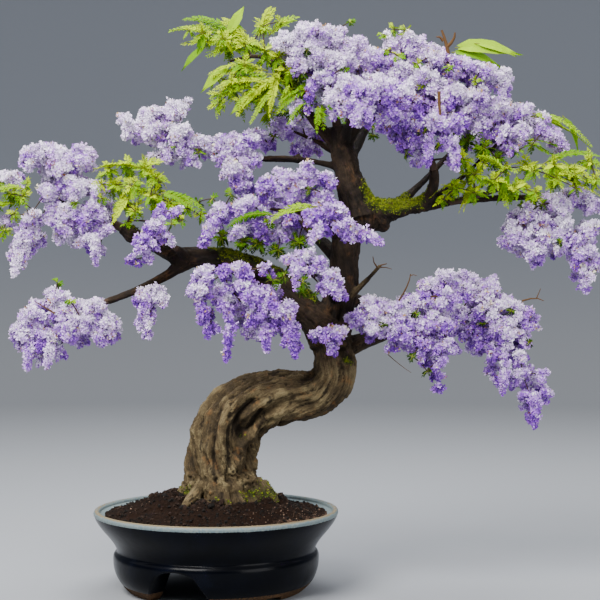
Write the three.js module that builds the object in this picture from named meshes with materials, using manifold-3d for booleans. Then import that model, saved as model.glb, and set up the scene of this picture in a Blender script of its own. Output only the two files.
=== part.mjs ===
// A jacaranda grown as a bonsai, in full flower, in a round glazed pot on three scalloped feet.
//
// The old trunk leaves the soil leaning left, bends over to the right, doubles back and climbs to a
// knotted fork. Boughs spread from it, and each carries one or more masses of blossom or of young
// leaves. A mass is one solid: a stem that takes over from its bough's tip, a lumpy core where the
// blossom is dense, and the panicles, twigs and leaves that stand out of it.
//
// Millimetres, +Z up, -Y is the side that the tree is shown from. All places are measured from the
// pot's axis at table level. At the end the group is shifted so that its origin lies on the table,
// under the middle of the whole plant's box.

import * as THREE from "three";
import { mergeVertices } from "three/addons/utils/BufferGeometryUtils.js";
import Module from "manifold-3d";

const wasm = await Module();
wasm.setup();

// ---------------------------------------------------------------- driving dimensions

const GAP = 0.35; // between solids that meet

const POT = {
  rim: 140, // outside radius of the lip
  height: 92,
  lip: 7, // thickness of the wall at the lip
  throat: 115.5, // the waist between the flared bowl and the skirt
  throatAt: 46,
  belly: 117, // the widest part of the skirt
  bellyAt: 36,
  foot: 102, // outside radius where the feet meet the table
  footInside: 85,
  floorAt: 34, // underside of the pot's floor
  floor: 12,
  segments: 36,
};
const FEET = 3;
const FIRST_ARCH = -20; // degrees from the front, to the right
const ARCH = { half: 40, height: 38, shoulder: 25, cusp: 31 };
const NOTCH = { half: 15, height: 5 }; // the hollow under each foot, which leaves two pads

const SOIL = { top: 103.65, flat: 68, edge: 86, wallGap: GAP, segments: 24 };

// The trunk from the soil to its fork: x, y, z and radius.
const TRUNK = [
  [11, 0, 92, 52],
  [9, 0, 106, 46],
  [7, 0, 128, 38.5],
  [8, 0, 160, 38],
  [17, 0, 188, 38],
  [35, 0, 205, 36],
  [60, -2, 217, 32.5],
  [88, -4, 220, 28.5],
  [113, -4, 223, 26],
  [131, -2, 238, 25],
  [135, 0, 262, 22.5],
  [133, 2, 285, 20.5],
  [137, 4, 315, 19],
  [145, 4, 345, 17.5],
  [147, 2, 378, 16.5],
  [150, 0, 404, 17.5],
  [162, 0, 424, 19.5],
  [180, 0, 430, 18],
  [197, 0, 424, 11.5],
];
const GROUND = 104; // the flat cut under the trunk
const FLUTES = { count: 5, depth: 0.075, twist: 5.5, flare: 0.16, flareHeight: 46 };

// Boughs: the limb that each grows on, where its axis starts and ends, how far its middle bows away
// from the straight line, and its radius at both ends.
const BOUGHS = {
  left: { on: "trunk", from: [130, 2, 290], to: [-44, -14, 379], bow: [12, -4, 54], radii: [18.5, 11.5] },
  left_tip: { on: "left", from: [-36, -12, 378], to: [-109, 2, 414], bow: [-2, 6, -2], radii: [9.5, 6.5] },
  left_low: { on: "left", from: [-30, -14, 376], to: [-122, -22, 330], bow: [4, -6, -8], radii: [7, 5] },
  left_spur: { on: "left_low", from: [-76, -25, 349], to: [-67, -33, 337], bow: [2, -2, 0], radii: [4, 3.2] },
  left_inner: { on: "left", from: [-30, -14, 378], to: [-43, -38, 389], bow: [0, 0, 0], radii: [5.5, 4] },
  left_leafy: { on: "left_tip", from: [-74, -4, 396], to: [-73, -16, 411], bow: [-2, -2, 0], radii: [4.5, 3.2] },
  left_hang: { on: "left", from: [40, -8, 365], to: [40, -36, 352], bow: [2, -6, 6], radii: [6, 4.5] },
  back_left: { on: "left", from: [54, -6, 358], to: [39, 58, 340], bow: [2, 4, 6], radii: [8.5, 4.5] },
  centre_left: { on: "trunk", from: [149, 0, 398], to: [102, -14, 428], bow: [-2, -2, 10], radii: [9.5, 6] },
  back_mid: { on: "trunk", from: [147, 2, 372], to: [102, 64, 422], bow: [-2, 6, 2], radii: [9.5, 5.5] },
  front_centre: { on: "trunk", from: [151, 0, 402], to: [147, -54, 411], bow: [0, 0, 4], radii: [7.5, 4.5] },
  front_low: { on: "trunk", from: [140, 4, 330], to: [121, -50, 353], bow: [0, -4, 0], radii: [7.5, 4.5] },
  snag: { on: "trunk", from: [140, 4, 322], to: [187, -26, 370], bow: [0, -2, -3], radii: [5.5, 2.4] },
  stub: { on: "trunk", from: [165, 0, 424], to: [139, 0, 531], bow: [-3, 3, 4], radii: [17.5, 12.5] },
  top_left: { on: "stub", from: [148, 2, 496], to: [64, 0, 605], bow: [-8, 4, 2], radii: [7.5, 4] },
  top: { on: "stub", from: [146, 0, 508], to: [197, -10, 562], bow: [-2, -2, 8], radii: [6.5, 4] },
  top_front: { on: "stub", from: [145, 0, 510], to: [158, -68, 545], bow: [0, -4, 6], radii: [7, 4.5] },
  back_top: { on: "stub", from: [150, 2, 486], to: [189, 66, 561], bow: [-3, 4, 4], radii: [8.5, 5.5] },
  inner: { on: "stub", from: [149, 2, 494], to: [122, 26, 513], bow: [-2, 2, 2], radii: [5.5, 4] },
  upper_left: { on: "stub", from: [152, 2, 480], to: [57, 6, 495], bow: [0, 2, 9], radii: [6.5, 4] },
  upper_far: { on: "upper_left", from: [96, 6, 494], to: [-10, 24, 506], bow: [0, 24, -8], radii: [4.5, 3.2] },
  right: { on: "trunk", from: [172, 0, 430], to: [267, -10, 443], bow: [0, -2, 0], radii: [13.5, 5] },
  right_rise: { on: "right", from: [237, -7, 438], to: [246, -40, 478], bow: [10, -4, -2], radii: [6.5, 5.5] },
  right_far: { on: "right", from: [247, -8, 440], to: [367, 12, 450], bow: [6, 14, 6], radii: [4.6, 3.4] },
  shoulder: { on: "right", from: [222, -5, 436], to: [309, 16, 497], bow: [8, 12, -8], radii: [6, 3.4] },
  back_right: { on: "right", from: [204, -3, 434], to: [276, 64, 506], bow: [-4, 12, -4], radii: [8, 4.5] },
  low_right: { on: "trunk", from: [132, 0, 268], to: [271, 22, 309], bow: [-2, 12, 12], radii: [12, 5] },
  low_front: { on: "low_right", from: [184, 12, 293], to: [188, -18, 293], bow: [0, 0, 0], radii: [5.5, 4] },
  back_low: { on: "trunk", from: [142, 4, 330], to: [199, 62, 317], bow: [-2, 10, 10], radii: [9.5, 5.5] },
};

// Masses of blossom and leaves: the bough whose tip carries each, or a point in the trunk, and the
// rounded lobes of its space, each a centre and three half sizes. A few have long single leaves
// that stand out beyond the lobes, each given by its root and tip.
const MASSES = {
  leaves_top_left: { tip: "top_left", leafy: true, lobes: [[16, -10, 604, 72, 50, 65]] },
  blossom_top_left: { tip: "stub", lobes: [[130, -12, 596, 72, 50, 54]] },
  blossom_top: {
    tip: "top",
    lobes: [[263, -8, 582, 80, 50, 57]],
    leaves: [
      [262, -8, 612, 355, -14, 621],
      [214, -10, 612, 186, -16, 648],
      [222, -6, 612, 226, -8, 646],
    ],
  },
  blossom_drop: { tip: "right_rise", lobes: [[230, -62, 510, 50, 38, 38]] },
  blossom_shoulder: {
    tip: "shoulder",
    lobes: [[343, 2, 526, 58, 46, 38]],
    leaves: [[362, -4, 545, 427, -14, 509]],
  },
  leaves_right: { tip: "right", leafy: true, lobes: [[346, -22, 464, 98, 40, 38]] },
  blossom_right_fall: {
    tip: "right_far",
    lobes: [
      [384, 8, 408, 58, 46, 44],
      [420, 8, 380, 34, 34, 46],
    ],
  },
  blossom_upper_left: {
    tip: "upper_far",
    lobes: [
      [-50, 12, 519, 50, 40, 43],
      [-90, 12, 533, 30, 26, 24],
    ],
  },
  blossom_upper_inner: { tip: "upper_left", lobes: [[22, -8, 495, 33, 28, 41]] },
  blossom_inner: { tip: "inner", lobes: [[84, 38, 531, 42, 28, 34]] },
  blossom_left: {
    tip: "left_tip",
    lobes: [
      [-162, -6, 450, 60, 44, 66],
      [-230, -6, 440, 30, 26, 38],
      [-134, -16, 400, 26, 24, 26],
      [-214, -12, 396, 24, 22, 30],
    ],
    leaves: [[-226, -8, 446, -262, -10, 455]],
  },
  leaves_left: { tip: "left_leafy", leafy: true, lobes: [[-64, -26, 446, 60, 34, 42]] },
  blossom_low_left: { tip: "left_low", lobes: [[-169, -22, 304, 63, 42, 50]] },
  blossom_low_spur: { tip: "left_spur", lobes: [[-72, -42, 317, 24, 22, 34]] },
  blossom_left_inner: { tip: "left_inner", lobes: [[-58, -52, 400, 31, 24, 34]] },
  blossom_centre: {
    tip: "centre_left",
    lobes: [
      [50, -20, 437, 70, 42, 42],
      [104, -34, 428, 40, 30, 50],
    ],
  },
  blossom_front: { tip: "front_centre", lobes: [[142, -88, 413, 42, 30, 28]] },
  blossom_hang: {
    tip: "left_hang",
    lobes: [
      [28, -66, 324, 64, 40, 48],
      [48, -64, 378, 50, 26, 22],
      [84, -66, 306, 26, 22, 34],
    ],
  },
  blossom_trunk_front: { tip: "front_low", lobes: [[108, -88, 358, 42, 30, 30]] },
  blossom_low_inner: { on: [133, -12, 284], lobes: [[135, -60, 288, 24, 22, 22]] },
  blossom_low_right: {
    tip: "low_front",
    lobes: [
      [204, -46, 307, 58, 40, 42],
      [248, -46, 300, 46, 36, 58],
      [250, -46, 246, 20, 18, 26],
    ],
  },
  blossom_low_far: {
    tip: "low_right",
    lobes: [
      [314, 8, 324, 60, 42, 50],
      [310, 8, 268, 26, 22, 40],
      [362, 8, 244, 29, 26, 52],
    ],
  },
  blossom_back_top: { tip: "back_top", lobes: [[210, 124, 590, 100, 52, 52]] },
  blossom_back_right: { tip: "back_right", lobes: [[331, 100, 548, 56, 42, 42]] },
  blossom_back_centre: { tip: "back_mid", lobes: [[78, 100, 438, 66, 44, 44]] },
  blossom_back_low: { tip: "back_low", lobes: [[247, 96, 302, 62, 42, 46]] },
  blossom_back_left: { tip: "back_left", lobes: [[35, 96, 329, 52, 40, 44]] },
  blossom_top_front: { tip: "top_front", lobes: [[175, -114, 549, 62, 40, 36]] },
};

const CORE = { share: 0.94, lump: 0.2, apart: 0.03 }; // shares of a lobe's size
const REACH = 1.1; // how far a mass's panicles and leaves go, beside its lobes
const PANICLE = { area: 4300, sides: 4, root: 0.5, droop: 0.42, girth: 0.36, widestAt: 0.6 };
const BLADE = { width: 0.4, thickness: 0.05, widestAt: 0.55 }; // shares of a leaf's length
const LEAF = { area: 1500, perKnot: 7, knotAt: 0.42, knot: 4.5, twig: 2.6, roll: 1.1 };
const STEM = { share: 0.8, most: 5, end: 2.2 }; // radius beside that of its bough's tip

const SMOOTH = 0.2; // how far a fused mass may be simplified

const LOOKS = {
  glaze: { color: 0x0d1626, roughness: 0.16, metalness: 0 },
  soil: { color: 0x2b1a10, roughness: 0.95, metalness: 0 },
  bark: { color: 0x6e5a41, roughness: 0.9, metalness: 0 },
  blossom: { color: 0xa597d6, roughness: 0.7, metalness: 0 },
  leaf: { color: 0x9cc21d, roughness: 0.6, metalness: 0 },
};

// ---------------------------------------------------------------- solids

const vector = (p) => new THREE.Vector3(p[0], p[1], p[2]);

/** A repeatable source of numbers from 0 to 1. */
function seeded(seed) {
  let state = seed | 0;
  return () => {
    state = (state + 0x6d2b79f5) | 0;
    let t = Math.imul(state ^ (state >>> 15), 1 | state);
    t = (t + Math.imul(t ^ (t >>> 7), 61 | t)) ^ t;
    return ((t ^ (t >>> 14)) >>> 0) / 4294967296;
  };
}

/** A closed geometry as a solid, with its faces turned out. */
function solidOf(geometry) {
  const bare = geometry.index ? geometry.toNonIndexed() : geometry.clone();
  bare.deleteAttribute("normal");
  bare.deleteAttribute("uv");
  const merged = mergeVertices(bare, 1e-4);
  const make = (triVerts) =>
    new wasm.Manifold(
      new wasm.Mesh({ numProp: 3, vertProperties: merged.attributes.position.array, triVerts }),
    );
  const corners = new Uint32Array(merged.index.array);
  const solid = make(corners);
  return solid.volume() > 0 ? solid : make(corners.reverse());
}

/** A solid as a geometry with flat faces. */
function geometryOf(solid) {
  const mesh = solid.getMesh();
  const places = new Float32Array(mesh.numVert * 3);
  for (let i = 0; i < mesh.numVert; i++) {
    places.set(mesh.vertProperties.subarray(i * mesh.numProp, i * mesh.numProp + 3), i * 3);
  }
  const geometry = new THREE.BufferGeometry();
  geometry.setAttribute("position", new THREE.BufferAttribute(places, 3));
  geometry.setIndex(new THREE.BufferAttribute(mesh.triVerts, 1));
  const flat = geometry.toNonIndexed();
  flat.computeVertexNormals();
  return flat;
}

/** The largest body of a solid: scraps and the shells of sealed hollows are dropped. */
function mainBody(solid) {
  const bodies = solid.decompose();
  return bodies.reduce((best, body) => (body.volume() > best.volume() ? body : best));
}

/** A closed geometry from points and the triangles between them. */
function facets(points, triangles) {
  const geometry = new THREE.BufferGeometry().setFromPoints(points);
  geometry.setIndex(triangles.flat());
  return geometry;
}

/** A closed tube along a curve, whose radius may change along it (0 to 1) and round it. */
function tube(curve, radiusAt, sides, rings) {
  const { normals, binormals } = curve.computeFrenetFrames(rings);
  const points = [];
  for (let i = 0; i <= rings; i++) {
    const along = i / rings;
    const centre = curve.getPointAt(along);
    for (let k = 0; k < sides; k++) {
      const angle = (2 * Math.PI * k) / sides;
      const radius = radiusAt(along, angle);
      points.push(
        centre
          .clone()
          .addScaledVector(normals[i], radius * Math.cos(angle))
          .addScaledVector(binormals[i], radius * Math.sin(angle)),
      );
    }
  }
  const first = points.push(curve.getPointAt(0)) - 1;
  const last = points.push(curve.getPointAt(1)) - 1;
  const triangles = [];
  for (let k = 0; k < sides; k++) {
    const next = (k + 1) % sides;
    triangles.push([first, next, k], [last, rings * sides + k, rings * sides + next]);
    for (let i = 0; i < rings; i++) {
      const [a, b] = [i * sides + k, i * sides + next];
      triangles.push([a, b, a + sides], [b, b + sides, a + sides]);
    }
  }
  return facets(points, triangles);
}

/** A double cone between two points, with its widest ring part of the way along. */
function spindle(root, tip, radius, sides, widestAt, chance) {
  const axis = tip.clone().sub(root).normalize();
  const across = new THREE.Vector3(0.3, 0.2, 1).cross(axis).normalize();
  const up = axis.clone().cross(across);
  const middle = root.clone().lerp(tip, widestAt);
  const points = [root, tip];
  for (let k = 0; k < sides; k++) {
    const angle = (2 * Math.PI * (k + chance() * 0.5)) / sides;
    const reach = radius * (0.85 + 0.3 * chance());
    points.push(
      middle
        .clone()
        .addScaledVector(across, reach * Math.cos(angle))
        .addScaledVector(up, reach * Math.sin(angle)),
    );
  }
  const triangles = [];
  for (let k = 0; k < sides; k++) {
    const [a, b] = [2 + k, 2 + ((k + 1) % sides)];
    triangles.push([0, b, a], [1, a, b]);
  }
  return facets(points, triangles);
}

/** A leaf of eight faces: root, tip, two edges, and a rib that stands proud on both sides. */
function blade(root, tip, normal) {
  const axis = tip.clone().sub(root);
  const length = axis.length();
  const edge = axis.normalize().clone().cross(normal).normalize();
  const face = edge.clone().cross(axis);
  const middle = root.clone().lerp(tip, BLADE.widestAt);
  const offset = (direction, share) => middle.clone().addScaledVector(direction, share * length);
  const points = [
    root,
    tip,
    offset(edge, BLADE.width / 2),
    offset(edge, -BLADE.width / 2),
    offset(face, BLADE.thickness / 2),
    offset(face, -BLADE.thickness / 2),
  ];
  const round = [2, 4, 3, 5];
  return facets(
    points,
    round.flatMap((a, k) => [
      [0, round[(k + 1) % 4], a],
      [1, a, round[(k + 1) % 4]],
    ]),
  );
}

// ---------------------------------------------------------------- pot and soil

/** The inside of the pot's wall: radius at a height. */
function insideRadius(height) {
  const share = (height - POT.floorAt - POT.floor) / (POT.height - POT.floorAt - POT.floor);
  const low = POT.throat - 13;
  return low + (POT.rim - POT.lip - low) * Math.pow(Math.max(share, 0), 1.35);
}

/** A solid turned about the Z axis from a closed profile of [radius, height] pairs. */
function turned(profile, segments) {
  const lathe = new THREE.LatheGeometry(
    profile.map(([r, z]) => new THREE.Vector2(r, z)),
    segments,
  );
  return solidOf(lathe.rotateX(Math.PI / 2));
}

/** The outside of the pot from foot to lip: a skirt that bellies out, a waist, and a flared bowl. */
function potOutside() {
  const skirt = new THREE.QuadraticBezierCurve(
    new THREE.Vector2(POT.foot, 0),
    new THREE.Vector2(POT.belly + 1.5, 16),
    new THREE.Vector2(POT.belly, POT.bellyAt),
  );
  const bowl = new THREE.CubicBezierCurve(
    new THREE.Vector2(POT.throat, POT.throatAt),
    new THREE.Vector2(POT.throat + 3, POT.throatAt + 14),
    new THREE.Vector2(POT.rim - 7, POT.height - 22),
    new THREE.Vector2(POT.rim - 1.5, POT.height - 7),
  );
  return [...skirt.getPoints(2), ...bowl.getPoints(4)].map((p) => [p.x, p.y]);
}

/** A cutter for the openings in the skirt, which runs outwards from the axis at an angle. */
function skirtCutter(outline, degrees) {
  const shape = new THREE.Shape(outline.map(([u, z]) => new THREE.Vector2(u, z)));
  const cutter = new THREE.ExtrudeGeometry(shape, { depth: 90, bevelEnabled: false });
  cutter.rotateX(Math.PI / 2); // up is +Z, and it runs out along -Y
  cutter.translate(0, -60, 0);
  cutter.rotateZ(THREE.MathUtils.degToRad(degrees));
  return solidOf(cutter);
}

/** Half an arch, mirrored: a flat crown, a cusp, and a leg that sweeps out to the table. */
function archOutline() {
  const leg = new THREE.QuadraticBezierCurve(
    new THREE.Vector2(ARCH.shoulder, ARCH.cusp - 4),
    new THREE.Vector2(ARCH.half - 6, 14),
    new THREE.Vector2(ARCH.half, -1),
  );
  const crown = new THREE.QuadraticBezierCurve(
    new THREE.Vector2(0, ARCH.height),
    new THREE.Vector2(ARCH.shoulder - 9, ARCH.height - 1),
    new THREE.Vector2(ARCH.shoulder - 3, ARCH.cusp),
  );
  const half = [...crown.getPoints(2), ...leg.getPoints(3)].map((p) => [p.x, p.y]);
  return [...half, ...half.slice(1).reverse().map(([u, z]) => [-u, z])];
}

/** A shallow hollow under a foot. */
function notchOutline() {
  const { half, height } = NOTCH;
  return [
    [half, -1],
    [half * 0.6, height],
    [-half * 0.6, height],
    [-half, -1],
  ];
}

function makePot() {
  const top = POT.floorAt + POT.floor;
  const inside = [0.6, 0.25].map((share) => {
    const height = top + share * (POT.height - top);
    return [insideRadius(height), height];
  });
  const profile = [
    [0, POT.floorAt],
    [POT.footInside + 4, POT.floorAt],
    [POT.footInside, 0],
    ...potOutside(),
    [POT.rim, POT.height - 4],
    [POT.rim - 2, POT.height],
    [POT.rim - POT.lip, POT.height],
    ...inside,
    [insideRadius(top), top],
    [0, top],
  ];
  let pot = turned(profile, POT.segments);
  for (let i = 0; i < FEET; i++) {
    const angle = FIRST_ARCH + (360 / FEET) * i;
    pot = pot
      .subtract(skirtCutter(archOutline(), angle))
      .subtract(skirtCutter(notchOutline(), angle + 180 / FEET));
  }
  return pot;
}

function makeSoil() {
  const bottom = POT.floorAt + POT.floor + SOIL.wallGap;
  const wall = [0, 0.25, 0.6].map((share) => {
    const height = Math.max(bottom, bottom + share * (POT.height - bottom));
    return [insideRadius(height) - 3 * SOIL.wallGap, height];
  });
  const rise = SOIL.top - SOIL.edge;
  const brink = insideRadius(SOIL.edge) - 4 * SOIL.wallGap;
  const mound = [0.85, 0.45, 0].map((share, i) => [
    brink + ((SOIL.flat - brink) * (i + 1)) / 3,
    SOIL.top - rise * share,
  ]);
  const profile = [[0, bottom], ...wall, [brink, SOIL.edge], ...mound, [0, SOIL.top]];
  return turned(profile, SOIL.segments);
}

// ---------------------------------------------------------------- trunk and boughs

/** A smooth radius along a row of stations that are evenly counted by their arc length. */
function stationRadius(curve, radii) {
  const last = radii.length - 1;
  return (along) => {
    const place = curve.getUtoTmapping(along) * last;
    const i = Math.min(Math.floor(place), last - 1);
    return radii[i] + (radii[i + 1] - radii[i]) * (place - i);
  };
}

/** The trunk's axis, longer at its tip by a little. */
function trunkAxis(longer) {
  const places = TRUNK.map(vector);
  const [before, last] = places.slice(-2);
  last.addScaledVector(last.clone().sub(before).normalize(), longer);
  return new THREE.CatmullRomCurve3(places, false, "centripetal");
}

/** The trunk, fluted and twisted, with root lobes at its flare; extra makes it fatter all round. */
function makeTrunk(extra = 0) {
  const trunkCurve = trunkAxis(extra);
  const trunkRadius = stationRadius(
    trunkCurve,
    TRUNK.map((station) => station[3]),
  );
  const radiusAt = (along, angle) => {
    const height = trunkCurve.getPointAt(along).z - GROUND;
    const flare = FLUTES.flare * Math.max(0, 1 - Math.max(height, 0) / FLUTES.flareHeight);
    const wave = Math.cos(FLUTES.count * angle + FLUTES.twist * along);
    const fade = 1 - 0.6 * along;
    return trunkRadius(along) * (1 + (FLUTES.depth * fade + flare) * wave) + extra;
  };
  const solid = solidOf(tube(trunkCurve, radiusAt, 16, 26));
  return solid.trimByPlane([0, 0, 1], GROUND - extra);
}

/** A bough's axis: a curve whose middle bows away from the straight line, longer at both ends. */
function boughCurve({ from, to, bow }, longer = 0) {
  const [start, end] = [vector(from), vector(to)];
  const control = start.clone().lerp(end, 0.5).add(vector(bow));
  start.addScaledVector(start.clone().sub(control).normalize(), longer);
  end.addScaledVector(end.clone().sub(control).normalize(), longer);
  return new THREE.QuadraticBezierCurve3(start, control, end);
}

function makeBough(bough, extra = 0) {
  const [thick, thin] = bough.radii;
  const taper = (along) => thin + (thick - thin) * Math.pow(1 - along, 1.3) + extra;
  const curve = boughCurve(bough, extra);
  const rings = Math.max(2, Math.round(boughCurve(bough).getLength() / 30));
  return solidOf(tube(curve, taper, thick > 10 ? 8 : 5, rings));
}

/** Every limb as a solid, each cut clear of the limbs before it. */
function makeLimbs() {
  const limbs = { trunk: makeTrunk() };
  const fatter = [makeTrunk(GAP)];
  for (const [name, bough] of Object.entries(BOUGHS)) {
    limbs[name] = mainBody(makeBough(bough).subtract(wasm.Manifold.union(fatter)));
    fatter.push(makeBough(bough, GAP));
  }
  return limbs;
}

/** Trunk and boughs in one, each fatter all round. */
function fatWood(extra) {
  const boughs = Object.values(BOUGHS).map((bough) => makeBough(bough, extra));
  return wasm.Manifold.union([makeTrunk(extra), ...boughs]);
}

// ---------------------------------------------------------------- masses of blossom and leaves

/** Directions spread evenly over a sphere, turned by a share of a circle. */
function spread(count, turn) {
  const golden = Math.PI * (3 - Math.sqrt(5));
  return Array.from({ length: count }, (_, i) => {
    const z = 1 - (2 * i + 1) / count;
    const ring = Math.sqrt(1 - z * z);
    const angle = golden * i + 2 * Math.PI * turn;
    return new THREE.Vector3(ring * Math.cos(angle), ring * Math.sin(angle), z);
  });
}

/** A point of a lobe, from its centre (0) to its skin (1) along a direction. */
function inLobe([x, y, z, a, b, h], direction, share) {
  return new THREE.Vector3(
    x + a * share * direction.x,
    y + b * share * direction.y,
    z + h * share * direction.z,
  );
}

/** How many things of a given area cover a lobe. */
function countFor([, , , a, b, h], area) {
  const power = 1.6;
  const [ab, ah, bh] = [(a * b) ** power, (a * h) ** power, (b * h) ** power];
  const skin = 4 * Math.PI * Math.pow((ab + ah + bh) / 3, 1 / power);
  return Math.max(6, Math.round(skin / area));
}

/** A plain tapered rod with few sides, bowed upwards in its middle. */
function rod(start, end, thick, thin, sides, lift = 0) {
  const control = start.clone().lerp(end, 0.5);
  control.z += lift;
  const curve = new THREE.QuadraticBezierCurve3(start, control, end);
  return solidOf(tube(curve, (along) => thick + (thin - thick) * along, sides, 2));
}

/** Where a mass's stem starts, clear of its bough's tip or in the trunk, and how thick it is. */
function stemRoot(mass) {
  if (mass.on) return { start: vector(mass.on), heading: new THREE.Vector3(0, -1, 0), radius: 3.5 };
  const curve = boughCurve(BOUGHS[mass.tip]);
  const heading = curve.getTangentAt(1);
  const radius = Math.min(STEM.share * BOUGHS[mass.tip].radii[1], STEM.most);
  return { start: curve.getPointAt(1).addScaledVector(heading, GAP), heading, radius };
}

/** The stem that runs from lobe to lobe of a mass; extra makes it fatter all round. */
function makeStem(mass, extra = 0) {
  const { start, heading, radius } = stemRoot(mass);
  const lead = start.clone().addScaledVector(heading, 2 * radius);
  const inner = start.clone().addScaledVector(heading, radius);
  const [first, ...others] = mass.lobes.map(vector);
  const [thick, thin] = [radius + extra, STEM.end + extra];
  return wasm.Manifold.union([
    rod(start, lead, thick, thick, 5),
    rod(inner, first, thick * 0.9, thin, 5),
    ...others.map((stop) => rod(first, stop, thin * 1.2, thin, 4)),
  ]);
}

/** The lumpy core of a dense mass, at a share of its lobes' size. */
function makeCore({ mass, seed }, share) {
  const chance = seeded(seed);
  const ball = new THREE.IcosahedronGeometry(1, 0);
  ball.deleteAttribute("normal");
  ball.deleteAttribute("uv");
  const sphere = mergeVertices(ball, 1e-4);
  const balls = mass.lobes.map((lobe) => {
    const lumpy = sphere.clone();
    const places = lumpy.attributes.position;
    for (let i = 0; i < places.count; i++) {
      const direction = new THREE.Vector3().fromBufferAttribute(places, i);
      const { x, y, z } = inLobe(lobe, direction, share * (1 + CORE.lump * (chance() - 0.5)));
      places.setXYZ(i, x, y, z);
    }
    return solidOf(lumpy);
  });
  return wasm.Manifold.union(balls);
}

/** The panicles of a lobe: each stands out of the core and leans down to the lobe's skin. */
function panicles(lobe, chance) {
  const smallest = Math.min(lobe[3], lobe[4], lobe[5]);
  return spread(countFor(lobe, PANICLE.area), chance()).map((direction) => {
    const lean = direction.clone();
    lean.z -= PANICLE.droop * (0.5 + chance());
    lean.normalize();
    const root = inLobe(lobe, direction, PANICLE.root);
    const tip = inLobe(lobe, lean, REACH * (0.88 + 0.12 * chance()));
    const girth = Math.min(PANICLE.girth * root.distanceTo(tip) + 3, 0.32 * smallest + 3);
    return solidOf(spindle(root, tip, girth, PANICLE.sides, PANICLE.widestAt, chance));
  });
}

/** The loose leaves of a blossom mass, each given by its root and tip. */
function looseLeaves(mass) {
  return (mass.leaves ?? []).map(([x, y, z, ...tip]) => {
    const root = new THREE.Vector3(x, y, z);
    return solidOf(blade(root, vector(tip), new THREE.Vector3(0.1, -0.9, 0.45)));
  });
}

/** A small round knot, where twigs meet or leaves spring. */
function knot(centre, radius) {
  return solidOf(new THREE.IcosahedronGeometry(radius, 0).translate(centre.x, centre.y, centre.z));
}

/** The sprays of a leafy lobe: each is a twig with a knot at its end, from which leaves spring. */
function sprays(lobe, chance) {
  const centre = inLobe(lobe, new THREE.Vector3(), 0);
  const tips = spread(countFor(lobe, LEAF.area), chance());
  const knots = spread(Math.max(2, Math.round(tips.length / LEAF.perKnot)), chance());
  const ends = knots.map((direction) => inLobe(lobe, direction, LEAF.knotAt));
  const nearest = (place) => {
    const distances = ends.map((end) => end.distanceTo(place));
    return distances.indexOf(Math.min(...distances));
  };
  const grown = ends.map((end) => ({
    wood: [rod(centre, end, LEAF.twig, LEAF.twig * 0.8, 3, 2), knot(end, LEAF.knot)],
    leaves: [],
  }));
  for (const direction of tips) {
    const tip = inLobe(lobe, direction, REACH * (0.8 + 0.2 * chance()));
    const i = nearest(tip);
    const axis = tip.clone().sub(ends[i]).normalize();
    const face = new THREE.Vector3(0.1, 0.1, 1).applyAxisAngle(axis, LEAF.roll * (chance() - 0.5));
    grown[i].leaves.push(solidOf(blade(ends[i], tip, face.addScaledVector(direction, 0.3))));
  }
  return grown;
}

/** True if every corner of a solid lies in one of the mass's lobes. */
function staysInside(solid, mass) {
  const mesh = solid.getMesh();
  for (let i = 0; i < mesh.numVert; i++) {
    const [px, py, pz] = mesh.vertProperties.subarray(i * mesh.numProp, i * mesh.numProp + 3);
    const inside = mass.lobes.some(
      ([x, y, z, a, b, h]) =>
        ((px - x) / a) ** 2 + ((py - y) / b) ** 2 + ((pz - z) / h) ** 2 <= REACH ** 2 + 0.02,
    );
    if (!inside) return false;
  }
  return true;
}

/** True if a solid keeps at least the gap from all the others. */
function keepsClear(solid, others) {
  const { min, max } = solid.boundingBox();
  return others.every((other) => {
    const box = other.boundingBox();
    const apart = [0, 1, 2].some((k) => box.min[k] > max[k] + GAP || box.max[k] < min[k] - GAP);
    return apart || solid.minGap(other, 2 * GAP) >= GAP * 0.9;
  });
}

/** All the masses. Stems and cores come first, so that what grows later keeps clear of them. */
function makeMasses(limbs) {
  const wood = Object.values(limbs);
  const closeWood = fatWood(GAP);
  const clearWood = fatWood(2 * GAP);
  const masses = Object.entries(MASSES).map(([name, mass], i) => ({
    name,
    mass,
    seed: 101 + 37 * i,
    solids: [mainBody(makeStem(mass).subtract(closeWood))],
    fatStem: makeStem(mass, 2 * GAP),
  }));
  const besides = (entry) => masses.filter((other) => other !== entry);
  const taken = [clearWood];
  for (const entry of masses.filter(({ mass }) => !mass.leafy)) {
    const stems = besides(entry).map(({ fatStem }) => fatStem);
    const core = makeCore(entry, CORE.share).subtract(wasm.Manifold.union([...taken, ...stems]));
    entry.solids.push(core);
    taken.push(makeCore(entry, CORE.share + CORE.apart));
  }
  for (const entry of masses) {
    const { mass, seed, solids } = entry;
    const chance = seeded(seed);
    const others = [...wood, ...besides(entry).flatMap((other) => other.solids)];
    const fits = (solid) => staysInside(solid, mass) && keepsClear(solid, others);
    for (const lobe of mass.lobes) {
      if (mass.leafy) {
        solids.push(knot(vector(lobe), LEAF.knot));
        for (const { wood: twig, leaves } of sprays(lobe, chance)) {
          const grown = solids.slice(2);
          if (!twig.every(fits)) continue;
          solids.push(...twig);
          solids.push(...leaves.filter((leaf) => fits(leaf) && keepsClear(leaf, grown)));
        }
      } else {
        solids.push(...panicles(lobe, chance).filter(fits));
      }
    }
    solids.push(...looseLeaves(mass).filter((leaf) => keepsClear(leaf, others)));
  }
  return masses.map(({ name, mass, solids }) => ({
    name,
    look: mass.leafy ? "leaf" : "blossom",
    solid: mainBody(wasm.Manifold.union(solids).simplify(SMOOTH)),
  }));
}

// ---------------------------------------------------------------- the plant

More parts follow.
